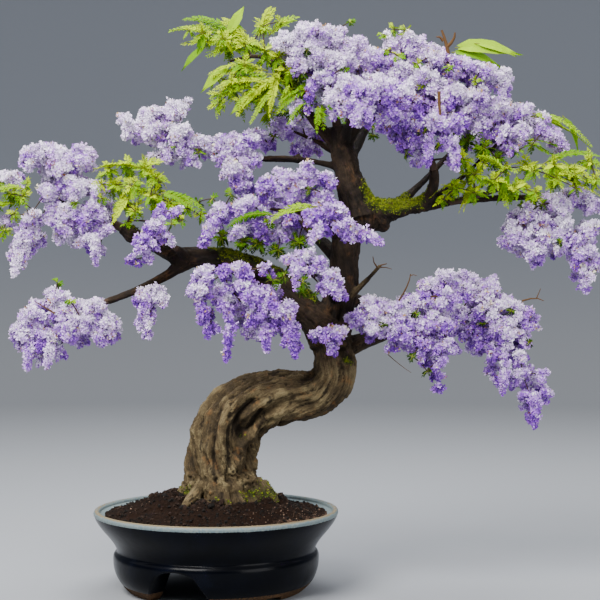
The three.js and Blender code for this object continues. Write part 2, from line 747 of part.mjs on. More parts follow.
function makePlant() {
  const plant = new THREE.Group();
  const add = (name, solid, look) => {
    const mesh = new THREE.Mesh(geometryOf(solid), new THREE.MeshStandardMaterial(LOOKS[look]));
    mesh.name = name;
    plant.add(mesh);
  };
  add("pot", makePot(), "glaze");
  add("soil", makeSoil(), "soil");
  const limbs = makeLimbs();
  for (const [name, solid] of Object.entries(limbs)) {
    add(name === "trunk" ? name : `bough_${name}`, solid, "bark");
  }
  for (const { name, solid, look } of makeMasses(limbs)) add(name, solid, look);
  const box = new THREE.Box3().setFromObject(plant);
  const middle = box.getCenter(new THREE.Vector3());
  plant.position.set(-middle.x, -middle.y, -box.min.z);
  return plant;
}

export default makePlant();
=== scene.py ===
"""A jacaranda grown as a bonsai, in full flower, in a glazed pot on three scalloped feet.

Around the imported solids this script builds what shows. Each mass of flowers or leaves grows on from
its bough by the rule of the solid that it stands for, carried to finer twigs. Everything is worked
out in millimetres from the pot's axis at table level, with X to the right, Y away from the front
and Z up. A Site turns these places into the frame's metres.
"""

from __future__ import annotations

import itertools
import logging
import math
from dataclasses import dataclass, field
from enum import Enum, IntEnum
from typing import Any, Callable, Iterable, Iterator, Optional, Sequence, Union

import bmesh
import bpy
import numpy as np
from mathutils import Euler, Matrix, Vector


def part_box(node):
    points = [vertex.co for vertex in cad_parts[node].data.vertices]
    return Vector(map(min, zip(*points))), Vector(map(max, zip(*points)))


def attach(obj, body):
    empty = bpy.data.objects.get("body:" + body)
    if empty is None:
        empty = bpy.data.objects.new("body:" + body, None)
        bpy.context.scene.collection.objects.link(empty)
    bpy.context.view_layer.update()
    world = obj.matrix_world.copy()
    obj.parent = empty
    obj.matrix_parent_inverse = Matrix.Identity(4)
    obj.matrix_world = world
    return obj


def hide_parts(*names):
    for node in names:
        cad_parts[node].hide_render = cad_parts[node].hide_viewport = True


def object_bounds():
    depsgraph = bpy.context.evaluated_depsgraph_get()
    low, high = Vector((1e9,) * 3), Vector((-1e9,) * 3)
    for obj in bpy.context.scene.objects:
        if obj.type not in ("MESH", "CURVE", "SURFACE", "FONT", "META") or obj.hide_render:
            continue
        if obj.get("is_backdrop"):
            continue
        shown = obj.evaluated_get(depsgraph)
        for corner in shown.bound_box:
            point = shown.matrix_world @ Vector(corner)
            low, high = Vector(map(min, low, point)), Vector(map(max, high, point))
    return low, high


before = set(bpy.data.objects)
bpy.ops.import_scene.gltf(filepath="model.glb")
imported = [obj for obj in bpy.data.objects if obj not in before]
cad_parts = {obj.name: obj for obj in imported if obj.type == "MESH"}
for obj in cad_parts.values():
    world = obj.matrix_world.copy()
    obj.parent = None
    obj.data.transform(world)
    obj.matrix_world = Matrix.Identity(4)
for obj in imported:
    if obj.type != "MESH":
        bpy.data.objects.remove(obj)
CAD_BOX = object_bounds()

LOG = logging.getLogger("bonsai")
MM = 0.001
BODY = "root"

Thing = bpy.types.Object
Material = bpy.types.Material
Chance = np.random.Generator
Points = np.ndarray
Triple = tuple[float, float, float]
Row = tuple[float, ...]
Faces = list[list[int]]
Out = Union[int, str]
Sockets = dict[Out, Any]
Corners = Union[np.ndarray, Sequence[Sequence[int]]]
Numbers = dict[str, np.ndarray]
chain = np.concatenate


# --- Places and numbers ---


class Site:
    """Where the pot's axis stands in the frame."""

    def __init__(self) -> None:
        """Reads the pot's box."""
        low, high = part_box("pot")
        self.origin = np.array([(low.x + high.x) / 2, (low.y + high.y) / 2, 0.0])

    def metres(self, places: Points) -> Points:
        """The frame's metres for places in millimetres from the pot's axis."""
        return np.asarray(places, float) * MM + self.origin

    def place(self, x: float, y: float, z: float) -> Vector:
        """One place in the frame's metres."""
        return Vector(self.metres(np.array([x, y, z])))


SITE = Site()


def unit(vectors: Points) -> Points:
    """Vectors brought to length one."""
    vectors = np.asarray(vectors, float)
    length = np.linalg.norm(vectors, axis=-1, keepdims=True)
    return vectors / np.maximum(length, 1e-9)


def smooth(value: Points, low: float, high: float) -> Points:
    """A soft step from 0 at low to 1 at high."""
    share = np.clip((np.asarray(value, float) - low) / (high - low), 0, 1)
    return share * share * (3 - 2 * share)


def spread(count: int, turn: float) -> Points:
    """Directions spread evenly over a sphere, turned by a share of a circle.

    Args:
        count: how many.
        turn: share of a circle.

    Returns:
        One direction a row, from the top down.
    """
    golden = math.pi * (3 - math.sqrt(5))
    index = np.arange(count)
    z = 1 - (2 * index + 1) / count
    ring = np.sqrt(1 - z * z)
    angle = golden * index + 2 * math.pi * turn
    return np.stack([ring * np.cos(angle), ring * np.sin(angle), z], axis=1)


def bezier(start: Points, control: Points, end: Points, along: Points) -> Points:
    """Places on quadratic curves, one row for each."""
    start, control, end = (np.asarray(place, float) for place in (start, control, end))
    along = np.asarray(along, float)[..., None]
    return (1 - along) ** 2 * start + 2 * along * (1 - along) * control + along**2 * end


def bearing(ahead: Points) -> tuple[Points, Points]:
    """The angle of each direction from Z and its angle about Z."""
    ahead = unit(ahead)
    return np.arccos(np.clip(ahead[:, 2], -1, 1)), np.arctan2(ahead[:, 1], ahead[:, 0])


def turns(ahead: Points, spin: Points) -> Points:
    """Euler angles that turn local Z to a direction after a spin about it.

    Args:
        ahead: directions, one a row.
        spin: angles in radians.

    Returns:
        XYZ Euler angles, one row for each.
    """
    polar, around = bearing(ahead)
    (ca, sa), (cp, sp), (cs, ss) = [(np.cos(v), np.sin(v)) for v in (around, polar, spin)]
    r00, r10, r20 = ca * cp * cs - sa * ss, sa * cp * cs + ca * ss, -sp * cs
    r21, r22 = sp * ss, cp
    return np.stack([np.arctan2(r21, r22), np.arcsin(np.clip(-r20, -1, 1)), np.arctan2(r10, r00)], 1)


def gaps(places: Points, stations: Points) -> Iterator[tuple[slice, Points]]:
    """The distances from places to stations, for one block of the places after another."""
    for start in range(0, len(places), 4000):
        block = slice(start, start + 4000)
        yield block, np.linalg.norm(places[block, None, :] - stations[None], axis=2)


class Noise:
    """Smooth repeatable noise in space, for the relief of meshes."""

    PRIMES = np.array([73856093, 19349663, 83492791])

    def __init__(self, seed: int) -> None:
        """Fills the table of values from a seed."""
        self.table = np.random.default_rng(seed).random(4096)

    def plain(self, places: Points) -> Points:
        """One layer of noise from 0 to 1."""
        cell = np.floor(places).astype(np.int64)
        part = places - cell
        part = part * part * (3 - 2 * part)
        total = np.zeros(len(places))
        for corner in itertools.product((0, 1), repeat=3):
            x, y, z = ((cell + corner) * self.PRIMES).T
            weight = np.prod(np.where(np.array(corner), part, 1 - part), axis=1)
            total += weight * self.table[(x ^ y ^ z) & 4095]
        return total

    def layered(self, places: Points, layers: int = 4) -> Points:
        """Layers of noise, each half as large and twice as strong in detail, from 0 to 1."""
        total, size, sum_of_sizes = np.zeros(len(places)), 1.0, 0.0
        for layer in range(layers):
            total += size * self.plain(places * 2**layer + 17.3 * layer)
            sum_of_sizes += size
            size *= 0.5
        return total / sum_of_sizes


# --- Node trees ---


def operator(operation: str, swap: bool = False) -> Callable[["Wire", "Value"], "Wire"]:
    """A method for one sign of arithmetic, or for the sign with its two sides swapped."""

    def method(self: "Wire", other: "Value") -> "Wire":
        """A Math node over this and another."""
        return self.maths(operation, *((other, self) if swap else (self, other)))

    return method


class Wire:
    """One output socket of a node tree, which takes part in arithmetic."""

    def __init__(self, tree: "Tree", socket: bpy.types.NodeSocket) -> None:
        """Holds a socket and the tree that it is in."""
        self.tree = tree
        self.socket = socket

    def maths(self, operation: str, *values: "Value") -> "Wire":
        """A Math node over some values."""
        return self.tree.node("ShaderNodeMath", dict(enumerate(values)), operation=operation)

    __add__ = __radd__ = operator("ADD")
    __sub__, __rsub__ = operator("SUBTRACT"), operator("SUBTRACT", True)
    __mul__ = __rmul__ = operator("MULTIPLY")

    def step(self, low: float, high: float) -> "Wire":
        """A soft step of this from 0 at low to 1 at high."""
        sockets = {0: self, 1: low, 2: high}
        return self.tree.node("ShaderNodeMapRange", sockets, interpolation_type="SMOOTHSTEP")


Value = Union[Wire, float, int]


class Tree:
    """A node tree that is open for building."""

    def __init__(self, nodes: bpy.types.NodeTree) -> None:
        """Holds an empty tree."""
        self.nodes = nodes

    def node(self, kind: str, sockets: Optional[Sockets] = None, out: Out = 0, **settings: Any) -> Wire:
        """Adds a node.

        Args:
            kind: the node's type.
            sockets: each input's value, wire or list of wires.
            out: the output wanted.
            settings: its properties, which are set first, with a ramp's stops as "stops".

        Returns:
            The wire of the output.
        """
        made = self.nodes.nodes.new(kind)
        for name, value in settings.items():
            if name == "stops":
                self._set_stops(made.color_ramp, value)
            else:
                setattr(made, name, value)
        for name, value in (sockets or {}).items():
            for item in value if isinstance(value, list) else [value]:
                if isinstance(item, Wire):
                    self.nodes.links.new(item.socket, made.inputs[name])
                else:
                    made.inputs[name].default_value = item
        return Wire(self, made.outputs[out])

    @staticmethod
    def _set_stops(ramp: bpy.types.ColorRamp, stops: Sequence[tuple[float, "Colour"]]) -> None:
        """Gives a ramp its stops."""
        while len(ramp.elements) < len(stops):
            ramp.elements.new(0.5)
        for element, (place, colour) in zip(ramp.elements, stops):
            element.position = place
            element.color = colour.linear


@dataclass(frozen=True)
class Colour:
    """A colour as it looks, each share from 0 to 255."""

    red: int
    green: int
    blue: int

    @property
    def linear(self) -> tuple[float, float, float, float]:
        """The colour as a shader's numbers."""
        shares = [value / 255 for value in (self.red, self.green, self.blue)]
        low = [v / 12.92 if v <= 0.04045 else ((v + 0.055) / 1.055) ** 2.4 for v in shares]
        return low[0], low[1], low[2], 1.0


class Paint(Tree):
    """A material's tree, with the nodes that most finishes share."""

    def __init__(self, name: str) -> None:
        """Makes a material with a bare Principled shader."""
        self.material = bpy.data.materials.new(name)
        self.material.use_nodes = True
        super().__init__(self.material.node_tree)
        self.shader = next(n for n in self.nodes.nodes if n.type == "BSDF_PRINCIPLED")

    def set(self, **sockets: Union[Value, Colour]) -> None:
        """Sets or links the shader's sockets, named with _ for each space."""
        for name, value in sockets.items():
            target = self.shader.inputs[name.replace("_", " ")]
            if isinstance(value, Wire):
                self.nodes.links.new(value.socket, target)
            else:
                target.default_value = value.linear if isinstance(value, Colour) else value

    def place(self) -> Wire:
        """The place on the object, in metres."""
        return self.node("ShaderNodeTexCoord", out="Object")

    def height(self) -> Wire:
        """The height above the table, in millimetres."""
        return self.node("ShaderNodeSeparateXYZ", {0: self.place()}, "Z") * 1000.0

    def mask(self, name: str, out: str = "Fac") -> Wire:
        """A number that the mesh carries, or a vector."""
        return self.node("ShaderNodeAttribute", out=out, attribute_name=name)

    def noise(self, size: float, detail: float = 3.0, rough: float = 0.55,
            over: Optional[Wire] = None) -> Wire:
        """Noise whose patches are about a size in millimetres, over the place or another vector."""
        sockets = {"Vector": over or self.place(), "Scale": 1000 / size, "Detail": detail}
        return self.node("ShaderNodeTexNoise", {**sockets, "Roughness": rough})

    def ramp(self, share: Wire, *stops: tuple[float, Colour]) -> Wire:
        """A colour for each share."""
        return self.node("ShaderNodeValToRGB", {0: share}, stops=stops)

    def blend(self, share: Value, low: Union[Wire, Colour], high: Union[Wire, Colour]) -> Wire:
        """One colour over another."""
        low, high = (v.linear if isinstance(v, Colour) else v for v in (low, high))
        return self.node("ShaderNodeMix", {0: share, 6: low, 7: high}, 2, data_type="RGBA")

    def bump(self, height: Wire, depth: float) -> Wire:
        """Relief of a depth in millimetres."""
        sockets = {"Height": height, "Distance": depth * MM, "Strength": 1.0}
        return self.node("ShaderNodeBump", sockets)


class Maker(Tree):
    """A Geometry Nodes tree with named inputs, run on one object and baked."""

    def __init__(self, name: str) -> None:
        """Makes a tree with a geometry going in and out."""
        group = bpy.data.node_groups.new(name, "GeometryNodeTree")
        super().__init__(group)
        group.interface.new_socket("Geometry", in_out="INPUT", socket_type="NodeSocketGeometry")
        group.interface.new_socket("Geometry", in_out="OUTPUT", socket_type="NodeSocketGeometry")
        self.start = group.nodes.new("NodeGroupInput")
        self.end = group.nodes.new("NodeGroupOutput")
        self.values: dict[str, Any] = {}

    @property
    def geometry(self) -> Wire:
        """The geometry that goes in."""
        return Wire(self, self.start.outputs[0])

    def size(self, name: str, kind: str, value: Any) -> Wire:
        """Adds a named input.

        Args:
            name: its name.
            kind: its socket's kind.
            value: its value.

        Returns:
            Its wire.
        """
        socket = self.nodes.interface.new_socket(name, in_out="INPUT", socket_type=f"NodeSocket{kind}")
        self.values[socket.identifier] = value
        return Wire(self, self.start.outputs[name])

    def named(self, name: str, kind: str) -> Wire:
        """A number or vector that the points carry."""
        return self.node("GeometryNodeInputNamedAttribute", {"Name": name}, data_type=kind)

    def same(self, value: Wire, number: int) -> Wire:
        """True where a whole number is this one."""
        sockets = {2: value, 3: number}
        return self.node("FunctionNodeCompare", sockets, data_type="INT", operation="EQUAL")

    def finish(self, geometry: Wire, finishes: Sequence[Material], tint: Optional[Wire]) -> None:
        """Ends the tree: makes its things real and gives each its material.

        Args:
            geometry: what it made.
            finishes: the materials, in the order of the tints.
            tint: each thing's tint, or None with one material.
        """
        shape = self.node("GeometryNodeRealizeInstances", {0: geometry})
        for number, material in enumerate(finishes):
            sockets: Sockets = {"Geometry": shape, "Material": material}
            if tint is not None:
                sockets["Selection"] = self.same(tint, number)
            shape = self.node("GeometryNodeSetMaterial", sockets)
        self.nodes.links.new(shape.socket, self.end.inputs[0])

    def bake(self, target: Thing) -> Thing:
        """Runs the tree on an object and keeps the result as its plain mesh."""
        modifier = target.modifiers.new(self.nodes.name, "NODES")
        modifier.node_group = self.nodes
        for identifier, value in self.values.items():
            modifier[identifier] = value
        return baked(target)


def baked(target: Thing) -> Thing:
    """Turns an object's modifiers into its plain mesh."""
    evaluated = target.evaluated_get(bpy.context.evaluated_depsgraph_get())
    mesh = bpy.data.meshes.new_from_object(evaluated)
    target.modifiers.clear()
    old, target.data = target.data, mesh
    bpy.data.meshes.remove(old)
    mesh.name = target.name
    return target


def mesh_object(name: str, places: Points, faces: Corners = (), edges: Corners = (),
        numbers: Optional[Numbers] = None) -> Thing:
    """Makes a mesh object from places in millimetres.

    Args:
        name: the object's name.
        places: one place a row.
        faces: each face's corners.
        edges: each loose edge's two ends.
        numbers: what places carry, by name.

    Returns:
        The object.
    """
    mesh = bpy.data.meshes.new(name)
    corners = faces.tolist() if isinstance(faces, np.ndarray) else faces
    mesh.from_pydata(SITE.metres(places).tolist(), edges, corners)
    for key, values in (numbers or {}).items():
        set_number(mesh, key, values)
    mesh.update()
    made = bpy.data.objects.new(name, mesh)
    bpy.context.scene.collection.objects.link(made)
    return made


def bowl_faces(rings: int, sides: int, hub: int, base: Optional[int] = None) -> Faces:
    """Faces between rings of places, numbered ring by ring, and to the hub inside the first one.

    Args:
        rings: how many rings.
        sides: places a ring.
        hub: the hub's number.
        base: the number of a place that closes the last ring, if any.

    Returns:
        Each face's corners.
    """
    grid = np.arange(rings * sides).reshape(rings, sides)
    following = np.roll(grid, -1, axis=1)
    quads = np.stack([grid[:-1], grid[1:], following[1:], following[:-1]], 2).reshape(-1, 4)
    caps = [[hub, grid[0, k], following[0, k]] for k in range(sides)]
    if base is not None:
        caps += [[base, following[-1, k], grid[-1, k]] for k in range(sides)]
    return quads.tolist() + caps


def set_number(mesh: bpy.types.Mesh, name: str, values: Points) -> None:
    """Makes each vertex carry a whole number, a number or a vector."""
    values = np.asarray(values)
    whole, key = values.dtype.kind in "iu", "vector" if values.ndim == 2 else "value"
    kind = "FLOAT_VECTOR" if values.ndim == 2 else "INT" if whole else "FLOAT"
    flat = values.astype(np.int32 if whole else np.float32).ravel()
    mesh.attributes.new(name, kind, "POINT").data.foreach_set(key, flat)


def places_of(mesh: bpy.types.Mesh) -> Points:
    """A mesh's vertices in millimetres from the pot's axis."""
    flat = np.zeros(len(mesh.vertices) * 3)
    mesh.vertices.foreach_get("co", flat)
    return (flat.reshape(-1, 3) - SITE.origin) / MM


def smooth_shaded(target: Thing) -> Thing:
    """Shades an object smooth."""
    target.data.shade_smooth()
    return target


def keep(piece: Thing, nodes: Iterable[str]) -> None:
    """Makes a finished object a piece of the bonsai, which stands for some of the solids."""
    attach(piece, BODY)
    nodes = list(nodes)
    if nodes:
        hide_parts(*nodes)
    triangles = sum(len(face.vertices) - 2 for face in piece.data.polygons)
    LOG.info("%s: %d triangles, for %s", piece.name, triangles, ", ".join(nodes) or "no solid")


# --- Finishes ---


@dataclass(frozen=True)
class BarkFinish:
    """Old bark: tan with dark furrows low down, darker and redder above, with moss; painted shade darkens
    its hollows, furrows and undersides.
    """

    # The ramps run from crest to hollow by the carried tone, whose light crests and dark hollows and
    # undersides are painted shade.
    crest: Colour = Colour(124, 110, 78)
    face: Colour = Colour(76, 63, 41)
    # Near black: partly dark inner bark, partly painted shade in the furrows, seams and cracks.
    hollow: Colour = Colour(42, 33, 19)
    furrow: Colour = Colour(26, 18, 9)
    upper_crest: Colour = Colour(62, 47, 31)
    upper_face: Colour = Colour(37, 27, 17)
    upper_hollow: Colour = Colour(20, 14, 8)
    rust: Colour = Colour(122, 80, 38)
    moss: Colour = Colour(108, 120, 16)
    deep_moss: Colour = Colour(42, 52, 14)
    dark_from: float = 240.0
    dark_to: float = 305.0

    def material(self) -> Material:
        """Builds the material."""
        paint = Paint("bark")
        fibre = paint.mask("grain", "Vector")
        grain = paint.noise(1.6, 5.0, 0.65, fibre)
        speck = paint.noise(1.3, 3.0)
        patch = paint.noise(26.0, 4.0)
        # tone carries painted shade: darker in the relief's hollows and on undersides, lighter on its
        # crests.
        tone = paint.mask("tone") * 0.5 + grain * 0.7 + speck * 0.3 + patch * 0.5 - 0.5
        low = paint.ramp(tone, (0.25, self.hollow), (0.5, self.face), (0.78, self.crest))
        high = paint.ramp(tone, (0.25, self.upper_hollow), (0.5, self.upper_face), (0.8, self.upper_crest))
        upper = (paint.height() + patch * 60.0 - 30.0).step(self.dark_from, self.dark_to)
        wood = paint.blend(upper, low, high)
        rusty = (paint.noise(13.0, 4.0) + grain * 0.4).step(0.76, 0.95) * 0.45
        wood = paint.blend(rusty * (1 - upper * 0.5), wood, self.rust)
        wood = paint.blend(paint.mask("bare") * 0.7, wood, low)
        # The furrows, seams and cracks go near black, partly as painted shade.
        deep = (paint.mask("groove") + grain * 0.5 - 0.25).step(0.3, 0.8) * 0.85
        wood = paint.blend(deep, wood, self.furrow)
        mossy = (paint.mask("moss") + grain * 0.8 - 0.5).step(0.25, 0.65) * 0.9
        green = paint.blend((grain + paint.mask("moss") - 0.95).step(0.2, 0.6), self.deep_moss, self.moss)
        paint.set(Base_Color=paint.blend(mossy, wood, green), Roughness=0.9 - tone * 0.1,
            Normal=paint.bump(grain + speck * 0.35, 1.3), Specular_IOR_Level=0.25)
        return paint.material


@dataclass(frozen=True)
class GlazeFinish:
    """Deep blue-black glaze, pale blue inside and on the lip, worn to tan, on brown clay feet."""

    body: Colour = Colour(2, 3, 7)
    body_light: Colour = Colour(6, 9, 20)
    lip: Colour = Colour(98, 115, 122)
    lip_light: Colour = Colour(128, 136, 130)
    wear: Colour = Colour(122, 111, 88)
    clay: Colour = Colour(92, 68, 46)
    clay_dark: Colour = Colour(58, 44, 34)

    def material(self) -> Material:
        """Builds the material."""
        paint = Paint("pot_glaze")
        cloud = paint.noise(30.0, 4.0)
        fine = paint.noise(2.4, 4.0)
        speck = paint.noise(1.4, 2.0)
        body = paint.blend((cloud + speck * 0.25).step(0.5, 0.95), self.body, self.body_light)
        pale = paint.blend(fine.step(0.3, 0.75), self.lip, self.lip_light)
        lip = (paint.mask("lip") + (fine - 0.5) * 0.5 + (cloud - 0.5) * 0.4).step(0.4, 0.6)
        glazed = paint.blend(lip, body, pale)
        worn = (paint.mask("wear") + (fine - 0.5) * 1.1).step(0.5, 0.72)
        glazed = paint.blend(worn, glazed, self.wear)
        clay = (paint.mask("clay") + (fine - 0.5) * 0.5).step(0.4, 0.6)
        bare = paint.blend(fine.step(0.3, 0.7), self.clay_dark, self.clay)
        dull = clay * 0.6 + worn * 0.35 + lip * 0.12 + fine * 0.06 + 0.2
        paint.set(Base_Color=paint.blend(clay, glazed, bare), Roughness=dull,
            Normal=paint.bump(cloud * 1.0 + fine * (0.06 + clay * 0.5), 0.5), Specular_IOR_Level=0.09)
        return paint.material


@dataclass(frozen=True)
class SoilFinish:
    """Damp dark soil, drier and pinker to the right of the front."""

    damp: Colour = Colour(9, 5, 3)
    crumb: Colour = Colour(36, 22, 14)
    dry: Colour = Colour(98, 76, 62)

    def material(self) -> Material:
        """Builds the material."""
        paint = Paint("soil")
        fine = paint.noise(2.0, 6.0, 0.7)
        patch = paint.noise(18.0, 3.0)
        dark = paint.blend((fine + patch * 0.4).step(0.45, 0.95), self.damp, self.crumb)
        dry = (paint.mask("dry") + fine * 0.8 - 0.6).step(0.2, 0.7)
        paint.set(Base_Color=paint.blend(dry, dark, self.dry), Roughness=0.97 - fine * 0.08,
            Normal=paint.bump(fine + paint.noise(0.8, 3.0) * 0.4, 1.2), Specular_IOR_Level=0.1)
        return paint.material


@dataclass(frozen=True)
class PlainFinish:
    """A plain colour for the many small things that a tint is dealt out to."""

    name: str
    colour: Colour
    roughness: float = 0.6
    sheen: float = 0.0
    specular: float = 0.3

    def material(self) -> Material:
        """Builds the material."""
        paint = Paint(self.name)
        paint.set(Base_Color=self.colour, Roughness=self.roughness, Sheen_Weight=self.sheen,
            Specular_IOR_Level=self.specular)
        return paint.material


@dataclass(frozen=True)
class StudioFinish:
    """A plain pale floor that turns greyer as it rises."""

    floor: Colour = Colour(146, 149, 154)
    wall: Colour = Colour(133, 138, 147)

    def material(self) -> Material:
        """Builds the material."""
        paint = Paint("studio")
        colour = paint.blend(paint.height().step(5.0, 700.0), self.floor, self.wall)
        paint.set(Base_Color=colour, Roughness=0.9, Specular_IOR_Level=0.1)
        return paint.material


class Petal(IntEnum):
    """The flowers' tints, palest first, then withered ones. Each flower has its own and the next, which
    some petals take partly as painted shade.
    """

    WHITE, FROST, PALE, LILAC, MAUVE, VIOLET, DEEP, DEEPEST, CREAM, TAN, WITHERED = range(11)


class Green(IntEnum):
    """The tints of the leaves, dealt out by spray."""

    YELLOW, LIME, BRIGHT, FRESH, DULL, DARK = range(6)


# The deeper tints also serve as painted shade for low, inner and downward flowers.
PETAL_COLOURS = (
    Colour(246, 240, 254), Colour(238, 224, 250), Colour(226, 200, 244), Colour(208, 170, 236),
    Colour(192, 140, 228), Colour(168, 106, 216), Colour(144, 76, 200), Colour(116, 52, 174),
    Colour(226, 222, 190), Colour(186, 150, 100), Colour(150, 92, 44),
)
# DULL and DARK also serve as painted shade for low and inner leaves.
GREEN_COLOURS = (
    Colour(178, 202, 0), Colour(142, 180, 0), Colour(106, 152, 0), Colour(72, 118, 2),
    Colour(56, 86, 16), Colour(34, 54, 14),
)


def tinted(kind: str, tints: type[IntEnum], colours: Sequence[Colour], *finish: float) -> list[Material]:
    """The materials of a kind of thing, in the order of its tints."""
    named = [(f"{kind}_{tint.name.lower()}", colour) for tint, colour in zip(tints, colours)]
    return [PlainFinish(name, colour, *finish).material() for name, colour in named]


# --- The pot and its soil ---


@dataclass
class Pot:
    """A turned pot with a flared bowl over a bellied skirt, cut into three feet by arches."""

    rim: float = 140.0
    height: float = 92.0
    lip: float = 7.0
    throat: float = 113.5
    throat_at: float = 46.0
    belly: float = 117.0
    belly_at: float = 36.0
    foot: float = 97.0
    foot_inside: float = 85.0
    floor_at: float = 34.0
    floor: float = 12.0
    ledge: float = 1.6
    feet: int = 3
    first_arch: float = -20.0
    arch_half: float = 40.0
    arch_height: float = 38.0
    arch_shoulder: float = 25.0
    arch_cusp: float = 31.0
    notch_half: float = 15.0
    notch_height: float = 5.0
    edge: float = 2.4
    clay_to: float = 12.0

    def inside_radius(self, height: Points) -> Points:
        """The radius of the inside of the wall at a height."""
        bottom = self.floor_at + self.floor
        share = np.clip((np.asarray(height, float) - bottom) / (self.height - bottom), 0, 1)
        low = self.throat - 13
        return low + (self.rim - self.lip - low) * share**1.35

    def outside(self) -> Points:
        """The outside from foot to lip as radius and height, close enough to look round."""
        brim = (self.belly + self.ledge / 2, self.belly_at)
        throat = (self.throat, self.throat_at)
        skirt = bezier((self.foot, 0), (self.belly + 1.0, 13), brim, np.linspace(0, 1, 15))
        fold = (self.belly + self.ledge, self.throat_at - 3.0)
        ledge = bezier(brim, fold, throat, np.linspace(0.1, 1, 9))
        along = np.linspace(0.04, 1, 20)[:, None]
        ends = [throat, (self.throat + 3, self.throat_at + 14), (self.rim - 7, self.height - 22),
            (self.rim - 1.0, self.height - 7)]
        weights = [(1 - along) ** 3, 3 * along * (1 - along) ** 2, 3 * along**2 * (1 - along), along**3]
        bowl = sum(weight * np.array(end) for weight, end in zip(weights, ends))
        return chain([skirt, ledge, bowl])

    def lip_round(self) -> Points:
        """The lip from outside to inside."""
        angles = np.radians(np.linspace(-10, 190, 15))
        middle = self.rim - self.lip / 2
        return np.stack([middle + self.lip / 2 * np.cos(angles), self.height - 3.5 + 3.5 * np.sin(angles)],
            1)

    def base_line(self) -> tuple[Points, Points]:
        """The lower edge of the skirt all the way round.

        Returns:
            Angles from the front and the height of the edge at each.
        """
        along = np.linspace(0, 1, 26)
        side, top = self.arch_shoulder, self.arch_height
        crown = bezier((0, top), (side - 9, top - 0.5), (side - 2, self.arch_cusp), along)
        cusp = (side + 0.5, self.arch_cusp - 3)
        leg = bezier(cusp, (self.arch_half - 6, 14), (self.arch_half, 0), along)
        half = chain([crown, leg])
        arch = chain([half[:0:-1] * [-1, 1], half])
        radius = np.interp(arch[:, 1], self.outside()[:24, 1], self.outside()[:24, 0])
        arch_angle = np.arcsin(arch[:, 0] / radius)
        third = 2 * math.pi / self.feet
        foot_angle = np.linspace(arch_angle[-1], third + arch_angle[0], 40)[1:-1]
        across = (foot_angle - third / 2) * self.foot
        rise = 1 - smooth(np.abs(across), self.notch_half * 0.6, self.notch_half)
        angle = chain([arch_angle, foot_angle])
        height = chain([arch[:, 1], rise * self.notch_height])
        starts = math.radians(self.first_arch) + third * np.arange(self.feet)
        return (starts[:, None] + angle).ravel(), np.tile(height, self.feet)

    def column(self, base: float) -> tuple[Points, Points]:
        """One column of the wall, from the middle of the floor inside round to the underside.

        Args:
            base: height of the skirt's lower edge here.

        Returns:
            Radius and height of each row, and 1 where it is inside or lip.
        """
        top = self.floor_at + self.floor
        inner_heights = np.linspace(top, self.height - 4, 14)
        inner = np.stack([self.inside_radius(inner_heights), inner_heights], 1)
        floor = np.stack([np.linspace(0.0, 1, 5)[:-1] * inner[0, 0], np.full(4, top)], 1)
        lip = self.lip_round()[::-1]
        outside = self.outside()
        skirt_top = 24
        skirt_heights = np.linspace(outside[skirt_top, 1], base + self.edge, 22)
        skirt_radii = np.interp(skirt_heights, outside[:, 1], outside[:, 0])
        skirt = np.stack([skirt_radii, skirt_heights], 1)
        ceiling = max(self.floor_at, base + 0.5)
        wall = self.foot_inside + 4 * min(base / self.floor_at, 1)
        corner = skirt_radii[-1]
        low = base + self.edge * np.array([0.4, 0, 0, 0.15])
        edge = np.stack([[corner - 0.4, corner - self.edge, wall + self.edge, wall + 0.4], low], 1)
        inside_skirt = np.stack([np.full(4, wall), np.linspace(base + 0.4, ceiling, 4)], 1)
        under = np.array([[60, self.floor_at], [30, self.floor_at], [0, self.floor_at]])
        pale, dark = [floor, inner, lip], [outside[:skirt_top:-1], skirt, edge, inside_skirt, under]
        rows = chain(pale + dark)
        return rows, 1 * (np.arange(len(rows)) < sum(map(len, pale)))

    def build(self) -> Thing:
        """Makes the pot."""
        angles, bases = self.base_line()
        order = np.argsort(angles)
        angles, bases = angles[order], bases[order]
        columns = [self.column(base) for base in bases]
        profile = np.stack([column[0] for column in columns])
        count, rows = profile.shape[:2]
        around = np.stack([np.sin(angles), -np.cos(angles)], 1)[:, None, :]
        places = chain([profile[:, :, :1] * around, profile[:, :, 1:]], 2)
        grid = np.arange(count * rows).reshape(count, rows)
        following = np.roll(grid, -1, axis=0)
        faces = np.stack([grid[:, :-1], following[:, :-1], following[:, 1:], grid[:, 1:]], 2)
        height, radius = profile[..., 1], profile[..., 0]
        inside = np.stack([column[1] for column in columns])
        on_lip = smooth(height, self.height - 5, self.height - 2) * (radius > self.rim - 12)
        front = 0.5 + 0.5 * np.cos(angles)[:, None]
        crest = smooth(height, self.height - 2.5, self.height - 0.4)
        numbers = {"lip": np.clip(inside + on_lip, 0, 1), "wear": crest * (0.42 + 0.5 * front),
            "clay": 1 - smooth(height, self.clay_to - 4, self.clay_to)}
        pot = mesh_object("glazed_pot", places.reshape(-1, 3), faces.reshape(-1, 4),
            numbers={key: np.broadcast_to(v, height.shape).ravel() for key, v in numbers.items()})
        weld(pot, 0.01)
        pot.data.materials.append(GlazeFinish().material())
        return smooth_shaded(pot)


def weld(target: Thing, distance: float) -> None:
    """Merges an object's vertices that lie within a distance in millimetres."""
    modifier = target.modifiers.new("weld", "WELD")
    modifier.merge_threshold = distance * MM
    baked(target)


